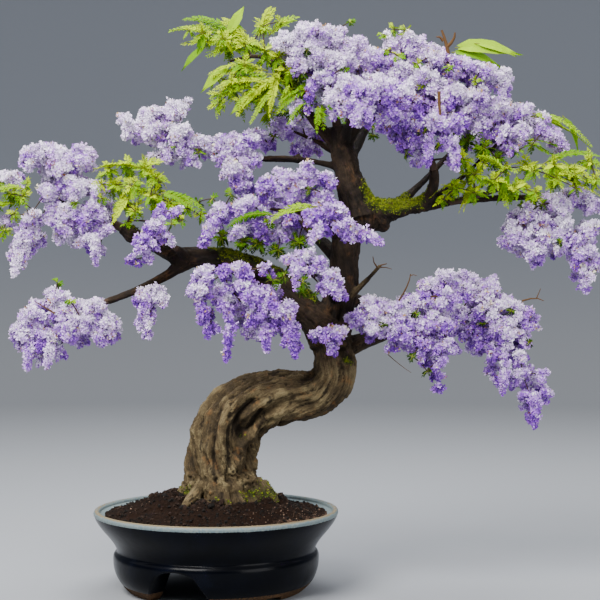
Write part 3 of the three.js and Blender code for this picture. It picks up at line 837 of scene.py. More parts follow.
@dataclass
class Soil:
    """A mound of soil that fills the pot, with lumps, crumbs and drier grit."""

    pot: Pot
    top: float = 103.65
    flat: float = 62.0
    edge: float = 86.0
    rings: int = 90
    segments: int = 260
    lump: float = 9.5
    clods: int = 340
    heaps: tuple[Row, ...] = (
        (-52.0, -22.0, 20.0, 9.0), (-34.0, 30.0, 24.0, 6.0), (62.0, -6.0, 18.0, 4.0),
        (84.0, -30.0, 16.0, 2.5),
    )

    def height(self, x: Points, y: Points) -> Points:
        """The height of the soil at places."""
        radius = np.hypot(x, y)
        brink = float(self.pot.inside_radius(self.edge))
        fall = smooth(radius, self.flat, brink)
        level = self.top - (self.top - self.edge) * fall**0.9
        places = np.stack([x, y, np.zeros_like(x)], 1)
        rough = Noise(5).layered(places / 15, 5) - 0.5
        level = level + self.lump * rough * 2 * (1 - 0.6 * fall)
        for hx, hy, width, rise in self.heaps:
            level = level + rise * np.exp(-((x - hx) ** 2 + (y - hy) ** 2) / width**2)
        return np.minimum(level, self.top + 12)

    def build(self) -> list[Thing]:
        """Makes the soil and the crumbs on it."""
        shares = np.linspace(0, 1, self.rings + 1)[1:] ** 0.85
        brink = float(self.pot.inside_radius(self.edge)) + 0.3
        angle = np.linspace(0, 2 * math.pi, self.segments, endpoint=False)
        x = np.outer(shares * brink, np.cos(angle)).ravel()
        y = np.outer(shares * brink, np.sin(angle)).ravel()
        upper = np.stack([x, y, self.height(x, y)], 1)
        bottom = self.edge - 14
        low_radius = float(self.pot.inside_radius(bottom))
        lower = np.stack([low_radius * np.cos(angle), low_radius * np.sin(angle), 0 * angle + bottom], 1)
        middle = self.height(np.zeros(1), np.zeros(1))[0]
        places = chain([upper, lower, [[0, 0, middle], [0, 0, bottom]]])
        faces = bowl_faces(self.rings + 1, self.segments, len(places) - 2, len(places) - 1)
        dry = 0.8 * smooth(places[:, 0] - places[:, 1] * 0.8, 90, 170)
        rim = smooth(np.hypot(places[:, 0], places[:, 1]), brink - 12, brink)
        soil = mesh_object("soil_mound", places, faces, numbers={"dry": np.clip(dry + 0.35 * rim, 0, 1)})
        soil.data.materials.append(SoilFinish().material())
        return [smooth_shaded(soil), self.crumbs()]

    def crumbs(self) -> Thing:
        """Makes crumbs of soil and grit scattered over the mound."""
        chance = np.random.default_rng(21)
        count = 3600
        angle = chance.random(count) * 2 * math.pi
        radius = np.sqrt(chance.random(count)) * (float(self.pot.inside_radius(self.edge)) - 1.5)
        x, y = radius * np.cos(angle), radius * np.sin(angle)
        size = 0.6 + 2.6 * chance.random(count) ** 4
        places = np.stack([x, y, 0 * x], 1)
        dry = smooth(x - y * 0.8 + 40 * (chance.random(count) - 0.5), 70, 140)
        pale = chance.random(count) < (0.03 + 0.5 * dry) * (size < 1.6)
        tint = np.where(pale, 2, chance.integers(0, 2, count))
        stone = Scatter.lump(11)
        shades = (("crumb_dark", Colour(12, 7, 4)), ("crumb_red", Colour(38, 24, 15)))
        finishes = [PlainFinish(name, colour, 0.95).material() for name, colour in shades]
        finishes.append(PlainFinish("grit", Colour(114, 92, 76), 0.9).material())
        ahead = unit(chance.normal(size=(count, 3)))
        kind = chance.integers(0, 2, count)
        clods = np.argsort(radius * (0.4 + chance.random(count)) + 60 * (x > 20))[: self.clods]
        size[clods], kind[clods], tint[clods] = 2.0 + 4.0 * chance.random(self.clods) ** 2, 2, 1
        tint[clods[::3]] = 0
        places[:, 2] = self.height(x, y) + size * 0.3
        spray = Spray(places, turns(ahead, 6.28 * chance.random(count)), size, tint, kind)
        shapes = [stone, Scatter.lump(12), Scatter.clod(13)]
        return Scatter("soil_crumbs", shapes, finishes).build(spray)


# --- Small things in great numbers ---


@dataclass
class Spray:
    """Many small things: the place, turn, size, tint and shape of each."""

    place: Points
    turn: Points
    size: Points
    tint: Points
    kind: Points

    @staticmethod
    def joined(sprays: Sequence["Spray"]) -> "Spray":
        """Several sprays as one."""
        return Spray(*map(chain, zip(*(vars(spray).values() for spray in sprays))))

    def chosen(self, mask: Points) -> "Spray":
        """The things where a mask is true."""
        return Spray(*(values[mask] for values in vars(self).values()))


Shape = tuple[Points, Faces, list[int]]


@dataclass
class Scatter:
    """Sets a few shapes on many points by Geometry Nodes."""

    name: str
    shapes: Sequence[Shape]
    finishes: Sequence[Material]

    @staticmethod
    def lump(seed: int) -> Shape:
        """A rough stone of size one, with eight faces."""
        chance = np.random.default_rng(seed)
        corners = np.array([[1, 0, 0], [-1, 0, 0], [0, 1, 0], [0, -1, 0], [0, 0, 0.8], [0, 0, -0.8]])
        faces = [[0, 2, 4], [2, 1, 4], [1, 3, 4], [3, 0, 4], [2, 0, 5], [1, 2, 5], [3, 1, 5], [0, 3, 5]]
        return corners * (0.75 + 0.5 * chance.random((6, 1))), faces, [0] * len(faces)

    @staticmethod
    def clod(seed: int) -> Shape:
        """A rough clod of size one, with twenty faces."""
        ball = bmesh.new()
        bmesh.ops.create_icosphere(ball, subdivisions=1, radius=1.0)
        corners = np.array([vert.co for vert in ball.verts])
        faces = [[vert.index for vert in face.verts] for face in ball.faces]
        ball.free()
        swell = 0.55 + 0.9 * Noise(seed).layered(corners * 1.6 + 9, 3)
        return corners * swell[:, None] * [1, 0.85, 0.7], faces, [0] * len(faces)

    @staticmethod
    def flower(petals: int, width: float, dish: float, beat: int) -> Shape:
        """A flower that faces +Z: petals that widen outwards, dished to its middle.

        Args:
            petals: how many.
            width: half a petal's angle.
            dish: how deep the middle lies.
            beat: one petal in how many is a tint deeper, partly as painted shade.

        Returns:
            Its corners, its faces and how much deeper each face is.
        """
        corners = [[0.0, 0.0, -dish]]
        for petal in range(petals):
            for hand in (-1, 1):
                angle = 2 * math.pi * petal / petals + hand * width
                lift = 0.38 * math.cos(2.4 * petal) + 0.16 * hand
                reach = 1 + 0.24 * math.cos(1.7 * petal + beat)
                corners.append([reach * math.cos(angle), reach * math.sin(angle), lift])
        faces = [[0, 2 * k + 1, 2 * k + 2] for k in range(petals)]
        return np.array(corners), faces, [int(k % beat == 0) for k in range(petals)]

    @staticmethod
    def bud() -> Shape:
        """A closed bud that points to +Z."""
        ring = [[0.4, 0, 0], [-0.2, 0.35, 0], [-0.2, -0.35, 0]]
        corners = np.array(ring + [[0, 0, 0.85], [0, 0, -0.8]])
        faces = [[k, (k + 1) % 3, 3] for k in range(3)] + [[(k + 1) % 3, k, 4] for k in range(3)]
        # Half its faces take a tint deeper, partly as painted shade.
        return corners, faces, [0, 1] * 3

    @staticmethod
    def leaflet(width: float, fold: float) -> Shape:
        """A leaflet from its root along +Z, folded a little along its rib."""
        w, f = width / 2, fold
        corners = np.array([[0, 0, 0], [w, f, 0.3], [0.75 * w, f, 0.72], [0, 0, 1], [-0.75 * w, f, 0.72],
            [-w, f, 0.3]])
        return corners, [[0, 1, 2, 3], [0, 3, 4, 5]], [0, 0]

    @staticmethod
    def blade(width: float, arch: float) -> Shape:
        """A long toothed leaf from its root along +Z, which arches away from +Y."""
        rib = np.linspace(0, 1, 6)
        spread_ = width * np.sin(math.pi * np.clip(rib, 0.04, 1) ** 0.75)
        spread_[1:-1:2] *= 1.15
        drop = -arch * rib**2
        rib_row = np.stack([0 * rib, drop, rib], 1)
        sides = [np.stack([hand * spread_, drop + 0.2 * spread_, rib - 0.05], 1) for hand in (1, -1)]
        corners = chain([rib_row, *sides])
        faces = [[k, 6 + k, 7 + k, k + 1] for k in range(5)]
        faces += [[k, k + 1, 13 + k, 12 + k] for k in range(5)]
        return corners, faces, [0] * 10

    @staticmethod
    def tuft() -> Shape:
        """A tuft of moss: four short blades that lean apart."""
        corners, faces = [], []
        for k in range(4):
            angle = 2 * math.pi * k / 4
            out = np.array([math.cos(angle), math.sin(angle), 0])
            side = np.array([-out[1], out[0], 0]) * 0.28
            start = len(corners)
            corners += [out * 0.1 + side, out * 0.1 - side, out * 0.75 + [0, 0, 0.9]]
            faces.append([start, start + 2, start + 1])
        return np.array(corners), faces, [0] * 4

    def build(self, spray: Spray) -> Thing:
        """Makes one piece of all the things of a spray."""
        maker = Maker(f"scatter_{self.name}")
        overall = maker.size("Size", "Float", MM)
        numbers = {name: values for name, values in vars(spray).items() if name != "place"}
        target = mesh_object(self.name, spray.place, numbers=numbers)
        kind = maker.named("kind", "INT")
        # Faces marked by shade take the next, deeper tint, partly as painted shade.
        tint = maker.named("tint", "INT") + maker.named("shade", "INT")
        turn = maker.node("FunctionNodeEulerToRotation", {0: maker.named("turn", "FLOAT_VECTOR")})
        scale = maker.named("size", "FLOAT") * overall
        sets, models = [], []
        for number, (corners, faces, shades) in enumerate(self.shapes):
            mesh = bpy.data.meshes.new(f"{self.name}_shape_{number}")
            mesh.from_pydata(corners.tolist(), [], faces)
            mesh.attributes.new("shade", "INT", "FACE").data.foreach_set("value", shades)
            model = bpy.data.objects.new(mesh.name, mesh)
            bpy.context.scene.collection.objects.link(model)
            models.append(model)
            source = maker.size(f"Shape {number}", "Object", model)
            shape = maker.node("GeometryNodeObjectInfo", {"Object": source}, "Geometry")
            sockets = {"Points": maker.geometry, "Selection": maker.same(kind, number)}
            sockets |= {"Instance": shape, "Rotation": turn, "Scale": scale}
            sets.append(maker.node("GeometryNodeInstanceOnPoints", sockets))
        maker.finish(maker.node("GeometryNodeJoinGeometry", {0: sets}), self.finishes, tint)
        made = maker.bake(target)
        for model in models:
            bpy.data.objects.remove(model)
        for name in (*numbers, "shade"):
            if name in made.data.attributes:
                made.data.attributes.remove(made.data.attributes[name])
        return made


# --- Wood ---


@dataclass
class Limb:
    """A limb as close stations along its axis, in millimetres.

    The sides of each station are turned as little as they can be from one to the next.
    """

    name: str
    place: Points
    radius: Points
    ahead: Points = field(init=False)
    side: Points = field(init=False)
    over: Points = field(init=False)
    along: Points = field(init=False)

    def __post_init__(self) -> None:
        """Works out directions, sides and lengths."""
        self.ahead = unit(np.gradient(self.place, axis=0))
        steps = np.linalg.norm(np.diff(self.place, axis=0), axis=1)
        self.along = chain([[0], np.cumsum(steps)])
        first = np.eye(3)[2 - int(np.argmin(np.abs(self.ahead[0][::-1])))]
        over = unit(np.cross(self.ahead[0], first))
        sides = [np.cross(self.ahead[0], over)]
        for ahead in self.ahead[1:]:
            sides.append(unit(sides[-1] - np.dot(sides[-1], ahead) * ahead))
        self.side = np.array(sides)
        self.over = np.cross(self.ahead, self.side)

    @property
    def length(self) -> float:
        """Its whole length."""
        return float(self.along[-1])

    def ring(self, station: int, angles: Points, radii: Points) -> Points:
        """Places round one station."""
        across = np.outer(np.cos(angles) * radii, self.side[station])
        return self.place[station] + across + np.outer(np.sin(angles) * radii, self.over[station])


@dataclass(frozen=True)
class Bough:
    """A bough's rule: where its axis starts and ends, how its middle bows, and its two radii."""

    start: Triple
    end: Triple
    bow: Triple
    thick: float
    thin: float
    slim: float = 1.0

    def limb(self, name: str, step: float = 3.0) -> Limb:
        """The bough as a limb."""
        start, end, bow = (np.array(v, float) for v in (self.start, self.end, self.bow))
        control = (start + end) / 2 + bow
        count = max(4, int(np.linalg.norm(end - start) / step))
        along = np.linspace(0, 1, count)
        radius = self.thin + (self.thick - self.thin) * (1 - along) ** 1.3
        reach = along * np.linalg.norm(end - start) / (1.3 * self.thick)
        collar = self.slim + (1.45 - self.slim) * np.exp(-reach)
        return Limb(name, bezier(start, control, end, along), radius * collar)


BOUGH_RULES = (
    ("left", (130, 2, 290), (-44, -14, 379), (12, -4, 54), 18.5, 11.5),
    ("left_tip", (-36, -12, 378), (-109, 2, 414), (-2, 6, -2), 9.5, 6.5),
    ("left_low", (-30, -14, 376), (-122, -22, 330), (4, -6, -8), 7, 5, 0.85),
    ("left_spur", (-76, -25, 349), (-67, -33, 337), (2, -2, 0), 4, 3.2),
    ("left_inner", (-30, -14, 378), (-43, -38, 389), (0, 0, 0), 5.5, 4),
    ("left_leafy", (-74, -4, 396), (-73, -16, 411), (-2, -2, 0), 4.5, 3.2),
    ("left_hang", (40, -8, 365), (40, -36, 352), (2, -6, 6), 6, 4.5),
    ("back_left", (54, -6, 358), (39, 58, 340), (2, 4, 6), 8.5, 4.5),
    ("centre_left", (149, 0, 398), (102, -14, 428), (-2, -2, 10), 9.5, 6),
    ("back_mid", (147, 2, 372), (102, 64, 422), (-2, 6, 2), 9.5, 5.5),
    ("front_centre", (151, 0, 402), (147, -54, 411), (0, 0, 4), 7.5, 4.5),
    ("front_low", (140, 4, 330), (121, -50, 353), (0, -4, 0), 7.5, 4.5),
    ("snag", (140, 4, 322), (187, -26, 370), (0, -2, -3), 5.5, 2.4),
    ("stub", (165, 0, 424), (139, 0, 531), (-3, 3, 4), 17.5, 12.5),
    ("top_left", (148, 2, 496), (64, 0, 605), (-8, 4, 2), 7.5, 4),
    ("top", (146, 0, 508), (197, -10, 562), (-2, -2, 8), 6.5, 4),
    ("top_front", (145, 0, 510), (158, -68, 545), (0, -4, 6), 7, 4.5),
    ("back_top", (150, 2, 486), (189, 66, 561), (-3, 4, 4), 8.5, 5.5),
    ("inner", (149, 2, 494), (122, 26, 513), (-2, 2, 2), 5.5, 4),
    ("upper_left", (152, 2, 480), (57, 6, 495), (0, 2, 9), 6.5, 4, 0.65),
    ("upper_far", (96, 6, 494), (-10, 24, 506), (0, 24, -8), 4.5, 3.2, 0.75),
    ("right", (172, 0, 430), (267, -10, 443), (0, -2, 0), 13.5, 5),
    ("right_rise", (237, -7, 438), (246, -40, 478), (10, -4, -2), 6.5, 5.5),
    ("right_far", (247, -8, 440), (367, 12, 450), (6, 14, 6), 4.6, 3.4),
    ("shoulder", (222, -5, 436), (309, 16, 497), (8, 12, -8), 6, 3.4, 0.75),
    ("back_right", (204, -3, 434), (276, 64, 506), (-4, 12, -4), 8, 4.5, 0.7),
    ("low_right", (132, 0, 268), (271, 22, 309), (-2, 12, 12), 12, 5),
    ("low_front", (184, 12, 293), (188, -18, 293), (0, 0, 0), 5.5, 4),
    ("back_low", (142, 4, 330), (199, 62, 317), (-2, 10, 10), 9.5, 5.5),
)
BOUGHS = {name: Bough(*rule) for name, *rule in BOUGH_RULES}


def furrows(scars: Sequence[tuple[Any, ...]], places: Points) -> Points:
    """How deep scars cut at places, by the distance from each path, seen from the front.

    Args:
        scars: a width, a depth (below 0 for a rope of wood) and the X and Z of a path for each.
        places: places on the bark.

    Returns:
        The depth at each place.
    """
    flat, total = places[:, [0, 2]], 0
    for width, depth, *path in scars:
        best = np.full(len(places), 1e9)
        for a, b in zip(np.array(path), np.array(path[1:])):
            share = np.clip((flat - a) @ (b - a) / np.dot(b - a, b - a), 0, 1)
            best = np.minimum(best, np.linalg.norm(flat - a - share[:, None] * (b - a), axis=1))
        total = total + depth * np.exp(-((best / width) ** 2))
    return total


def swelling(knobs: Sequence[Row], places: Points) -> Points:
    """How far round knobs lift places. Each is a place, a width and a rise, below 0 for a hollow."""
    return sum(rise * np.exp(-((np.linalg.norm(places - np.array(middle), axis=1) / width) ** 2))
        for *middle, width, rise in knobs)


@dataclass
class Wood:
    """The trunk and its boughs as one skin of bark."""

    stations: tuple[Row, ...] = (
        (11, 0, 92, 52), (9, 0, 106, 46), (7, 0, 128, 38.5), (8, 0, 160, 38), (17, 0, 188, 38),
        (35, 0, 205, 36), (60, -2, 217, 32.5), (88, -4, 220, 28.5), (113, -4, 223, 26), (131, -2, 238, 25),
        (135, 0, 262, 22.5), (133, 2, 285, 20.5), (137, 4, 315, 19), (145, 4, 345, 17.5),
        (147, 2, 378, 16.5), (150, 0, 404, 17.5), (162, 0, 424, 19.5), (180, 0, 430, 18),
        (197, 0, 424, 11.5),
    )
    ground: float = 104.0
    flutes: int = 5
    flute_depth: float = 0.075
    twist: float = 5.5
    flare: float = 0.16
    flare_height: float = 46.0
    voxel: float = 1.64
    scars: tuple[tuple[Any, ...], ...] = (
        (5.0, 9.0, (40, 218), (29, 206), (26, 190), (31, 176)),
        (3.6, 8.0, (52, 206), (42, 192), (37, 184)),
        (3.6, -3.5, (64, 221), (48, 212), (33, 198)),
        (5.5, -5.5, (76, 208), (54, 195), (42, 180), (31, 165), (25, 146), (22, 126)),
        (3.4, 4.0, (62, 197), (48, 180), (40, 162), (37, 140)),
        (5.0, 3.0, (102, 212), (84, 216), (66, 212)),
        (3.4, 5.0, (4, 208), (-3, 182), (-4, 152), (0, 130)),
        (3.0, 4.5, (18, 200), (14, 176), (17, 152), (13, 128)),
        (3.2, 4.0, (-16, 198), (-20, 176)),
        (2.6, 2.5, (-20, 172), (-19, 146), (-22, 126)),
        (3.0, 3.0, (10, 226), (-6, 214), (-14, 204)),
        (3.0, 1.6, (104, 238), (92, 234), (70, 232)),
        (3.0, 3.0, (144, 262), (140, 300), (146, 336)),
        (3.0, 2.4, (128, 250), (126, 290), (131, 318)),
    )
    knobs: tuple[Row, ...] = (
        (-18, -26, 207, 11, 4.5), (-28, -14, 186, 12, 3.0), (2, -34, 214, 13, 3.0),
        (150, -16, 262, 10, 4.0), (118, -20, 228, 12, 3.0), (172, -12, 408, 12, 5.0),
        (196, 0, 414, 10, 5.0), (-98, -2, 404, 9, 5.0), (-46, -16, 372, 8, 3.5), (230, -6, 452, 9, 3.5),
        (138, -12, 500, 9, 3.0), (146, -16, 440, 9, -2.5), (86, -10, 372, 12, 3.5),
    )
    moss: tuple[Row, ...] = (
        (-30, -20, 110, 16, 0.8), (4, -50, 112, 12, 0.5), (46, -36, 114, 16, 0.9), (58, 0, 118, 20, 0.9),
        (20, 46, 112, 24, 0.8), (-26, 30, 112, 20, 0.7), (34, -34, 174, 9, 1.2), (25, -36, 200, 9, 0.7),
        (148, -20, 262, 6, 2.0), (190, -4, 452, 24, 2.2), (212, -8, 452, 22, 2.2), (236, -10, 450, 18, 1.8),
        (100, -14, 372, 22, 1.3), (56, -12, 384, 26, 1.5), (108, -20, 342, 16, 1.1),
        (12, -12, 390, 24, 1.3), (-96, 0, 416, 12, 0.8),
    )
    roots: tuple[Row, ...] = (
        (-38, 70, 7.0, 18), (-8, 58, 5.5, 12), (28, 60, 7.0, 16), (64, 62, 6.5, 18), (112, 60, 7.0, 18),
        (158, 68, 8.0, 20), (205, 62, 7.5, 16), (262, 66, 7.5, 20),
    )

    def trunk(self, step: float = 3.0) -> Limb:
        """The trunk's axis: a smooth curve through its stations."""
        given = np.array(self.stations, float)
        places = given[:, :3]
        padded = chain([[2 * places[0] - places[1]], places, [2 * places[-1] - places[-2]]])
        rows = []
        for i, (p0, p1, p2, p3) in enumerate(zip(*(padded[k:] for k in range(4)))):
            d0, d1, d2 = (math.sqrt(np.linalg.norm(b - a)) for a, b in ((p0, p1), (p1, p2), (p2, p3)))
            t1 = ((p1 - p0) / d0 - (p2 - p0) / (d0 + d1) + (p2 - p1) / d1) * d1
            t2 = ((p2 - p1) / d1 - (p3 - p1) / (d1 + d2) + (p3 - p2) / d2) * d1
            for t in np.linspace(0, 1, 13)[: 13 if i == len(places) - 2 else 12]:
                near, far = 2 * t**3 - 3 * t**2 + 1, 3 * t**2 - 2 * t**3
                curve = near * p1 + (t**3 - 2 * t**2 + t) * t1 + far * p2 + (t**3 - t**2) * t2
                rows.append([*curve, given[i, 3] + (given[i + 1, 3] - given[i, 3]) * t])
        rows = np.array(rows)
        lengths = np.linalg.norm(np.diff(rows[:, :3], axis=0), axis=1)
        along = chain([[0], np.cumsum(lengths)])
        even = np.linspace(0, along[-1], int(along[-1] / step))
        fine = np.stack([np.interp(even, along, rows[:, k]) for k in range(4)], 1)
        return Limb("trunk", fine[:, :3], fine[:, 3])

    def root_limb(self, index: int) -> Limb:
        """A root that leaves the flare and dips into the soil."""
        turn, reach, thick, rise = self.roots[index]
        out = np.array([math.sin(math.radians(turn)), -math.cos(math.radians(turn)), 0])
        middle = np.array([9.0, 0.0, 0.0])
        start = middle + out * 30 + [0, 0, self.ground + rise]
        end = middle + out * reach + [0, 0, self.ground - 6]
        sway = np.array([-out[1], out[0], 0]) * (8 if index % 2 else -8)
        control = middle + out * (0.55 * reach + 8) + sway + [0, 0, self.ground + 0.45 * rise]
        along = np.linspace(0, 1, 20)
        return Limb(f"root_{index}", bezier(start, control, end, along), thick * (1.1 - 0.55 * along))

    def limbs(self) -> list[Limb]:
        """The trunk and every bough."""
        return [self.trunk()] + [bough.limb(name) for name, bough in BOUGHS.items()]

    def sleeve(self, limb: Limb, sides: int) -> tuple[Points, Faces]:
        """A closed tube round a limb, fluted where it is the trunk."""
        angles = 2 * math.pi * np.arange(sides) / sides
        rows = []
        for i, radius in enumerate(limb.radius):
            along = limb.along[i] / limb.length
            radii = np.full(sides, radius)
            if limb.name == "trunk":
                height = max(limb.place[i, 2] - self.ground, 0)
                flare = self.flare * max(0, 1 - height / self.flare_height)
                wave = np.cos(self.flutes * angles + self.twist * along)
                radii = radius * (1 + (self.flute_depth * (1 - 0.6 * along) + flare) * wave)
            rows.append(limb.ring(i, angles, radii))
        count = len(rows)
        places = chain([*rows, limb.place[:1], limb.place[-1:]])
        faces = []
        for k in range(sides):
            n = (k + 1) % sides
            faces.append([count * sides, n, k])
            faces.append([count * sides + 1, (count - 1) * sides + k, (count - 1) * sides + n])
            for i in range(count - 1):
                a, b = i * sides, (i + 1) * sides
                faces.append([a + k, a + n, b + n, b + k])
        return places, faces

    def skin(self, limbs: Sequence[Limb]) -> Thing:
        """The limbs grown together into one even skin."""
        places, faces = [], []
        for limb in limbs:
            more, rings = self.sleeve(limb, 96 if limb.name == "trunk" else 24)
            start = sum(len(p) for p in places)
            places.append(more)
            faces += [[corner + start for corner in face] for face in rings]
        wood = mesh_object("bark", chain(places), faces)
        remesh = wood.modifiers.new("skin", "REMESH")
        remesh.mode = "VOXEL"
        remesh.voxel_size = self.voxel * MM
        relax = wood.modifiers.new("relax", "SMOOTH")
        relax.factor, relax.iterations = 0.5, 5
        return baked(wood)

    def locate(self, limbs: Sequence[Limb], places: Points) -> Numbers:
        """Where each place lies on the nearest limb.

        Args:
            limbs: the limbs.
            places: places on the skin.

        Returns:
            What the limb is there, the "angle" round it and its number as "limb".
        """
        keys = ("place", "radius", "side", "over", "along")
        stack = {key: chain([getattr(limb, key) for limb in limbs]) for key in keys}
        stack["limb"] = chain([np.full(len(limb.place), i) for i, limb in enumerate(limbs)])
        found = np.zeros(len(places), int)
        for block, away in gaps(places, stack["place"]):
            found[block] = np.argmin(away - stack["radius"], axis=1)
        near = {key: values[found] for key, values in stack.items()}
        out = places - near["place"]
        near["angle"] = np.arctan2((out * near["over"]).sum(1), (out * near["side"]).sum(1))
        return near

    def build(self, limbs: list[Limb]) -> list[Thing]:
        """Makes the wood with its bark, and the moss on it."""
        roots = [self.root_limb(i) for i in range(len(self.roots))]
        wood = self.skin(limbs + roots)
        mesh = wood.data
        places = places_of(mesh)
        normals = np.zeros(len(mesh.vertices) * 3)
        mesh.vertices.foreach_get("normal", normals)
        normals = normals.reshape(-1, 3)
        on = self.locate(limbs + roots, places)
        lift, numbers = self.relief(places, normals, on)
        places += normals * lift[:, None]
        mesh.vertices.foreach_set("co", SITE.metres(places).ravel())
        for key, values in numbers.items():
            set_number(mesh, key, values)
        mesh.materials.append(BarkFinish().material())
        mesh.update()
        smooth_shaded(wood)
        return [wood, self.moss_tufts(places, normals, numbers["moss"])]

    def relief(self, places: Points, normals: Points, on: Numbers) -> tuple[Points, Numbers]:
        """The bark's relief.

        Args:
            places: places on the smooth skin.
            normals: the skin's directions there.
            on: where each place lies on its limb.

        Returns:
            How far each place is lifted, and what it carries.
        """
        radius, along = on["radius"], on["along"]
        turn = on["angle"] + np.where(on["limb"] == 0, 1.1, 0.8) * along / 100
        shift = on["limb"][:, None] * 7.7

        def grained(width: float, length: float) -> Points:
            """Places stretched along the grain, so that noise over them follows it."""
            wide = radius / width
            return np.stack([np.cos(turn) * wide, np.sin(turn) * wide, along / length], 1) + shift

        def seams(seed: int, width: float, length: float, sharp: float) -> Points:
            """Thin wandering lines along the grain, 1 in their middle and 0 beside them."""
            crest = 1 - np.abs(2 * Noise(seed).layered(grained(width, length), 3) - 1)
            return smooth(crest, sharp, 1.0)

        rope = Noise(1).layered(grained(11, 80), 3) - 0.5
        seam, crack = seams(2, 7.5, 44, 0.86), seams(3, 3.8, 26, 0.9)
        lumps = Noise(4).layered(places / 15, 3) - 0.5
        pits = Noise(6).layered(places / 5.5, 3) - 0.5
        fibres = Noise(7).layered(grained(4.0, 26), 2) - 0.5
        size = np.clip(radius / 36, 0.12, 1.1)
        fine = np.sqrt(size) * (2.2 * pits + 3.0 * fibres - 0.8 * crack)
        lift = size * (13.0 * rope + 7.0 * lumps - 2.8 * seam) + fine
        front = smooth(-normals[:, 1], 0.0, 0.55) * (on["limb"] == 0)
        cut = furrows(self.scars, places) * front
        lift += swelling(self.knobs, places) - cut
        # Where furrows, seams and cracks are painted near black, partly as painted shade.
        groove = np.clip((np.clip(cut, 0, None) / 7) ** 1.6 + 0.7 * seam + 0.3 * crack, 0, 1)
        facing = 0.55 + 0.45 * np.clip(normals[:, 2], -1, 1)
        near_soil = 1 - smooth(places[:, 2], self.ground + 2, self.ground + 20)
        moss = swelling(self.moss, places) * facing + 0.25 * near_soil
        moss = np.clip(moss * (0.1 + 1.5 * Noise(8).layered(places / 8, 3)), 0, 1)
        lift += 2.6 * moss * Noise(9).layered(places / 5, 2)
        # Painted shade: undersides are darker, and tone follows the relief's rope and lumps, so hollows are
        # darker and crests lighter.
        under = smooth(-normals[:, 2], 0.15, 0.9)
        tone = 0.5 + 0.22 * fine / np.sqrt(size) + 0.8 * lumps + 0.9 * rope - 0.3 * under
        bare = 1.0 * (on["limb"] == 1 + list(BOUGHS).index("snag"))
        grain = np.stack([np.cos(turn) * radius, np.sin(turn) * radius, along / 6], 1) + 5 * shift
        carried = {"groove": groove, "tone": np.clip(tone, 0, 1), "moss": moss, "bare": bare}
        return lift, {**carried, "grain": grain * MM}

    def moss_tufts(self, places: Points, normals: Points, moss: Points) -> Thing:
        """Makes tufts of moss where the bark carries it."""
        chance = np.random.default_rng(77)
        chosen = np.flatnonzero((moss > 0.36) & (chance.random(len(moss)) < 0.7 * moss))
        count = len(chosen)
        ahead = unit(normals[chosen] + 0.5 * chance.normal(size=(count, 3)) + [0, 0, 0.5])
        size = 0.9 + 1.3 * chance.random(count)
        low = 0.9 * (places[chosen, 2] < 200)
        tint = np.clip(np.round(1.2 + low + 1.1 * chance.normal(size=count)), 0, 3).astype(int)
        shades = {"moss_lime": Colour(150, 164, 14), "moss_green": Colour(118, 136, 16),
            "moss_deep": Colour(76, 92, 18), "moss_brown": Colour(96, 84, 34)}
        finishes = [PlainFinish(name, colour, 0.9).material() for name, colour in shades.items()]
        kind = np.zeros(count, int)
        spray = Spray(places[chosen], turns(ahead, 6.28 * chance.random(count)), size, tint, kind)
        return Scatter("moss_tufts", [Scatter.tuft()], finishes).build(spray)


# --- Masses of flowers and leaves ---


class Region(Enum):
    """Parts of the crown whose flowers are joined in one piece."""

    LEFT, UPPER, CENTRE, TOP, RIGHT, LOW, BACK = ("left", "upper", "centre", "top", "right", "low", "back")


@dataclass(frozen=True)
class Ball:
    """A rounded space that a cluster fills, and how deep its tints are."""

    middle: Points
    half: Points
    tone: float

    @property
    def radius(self) -> float:
        """Its mean radius."""
        return float(np.mean(self.half))

    @property
    def skin(self) -> float:
        """The area of its skin."""
        return 4 * math.pi * self.radius**2

    def holds(self, places: Points, share: float) -> Points:
        """True for each place within a share of its radius."""
        return np.linalg.norm((places - self.middle) / self.half, axis=1) < share


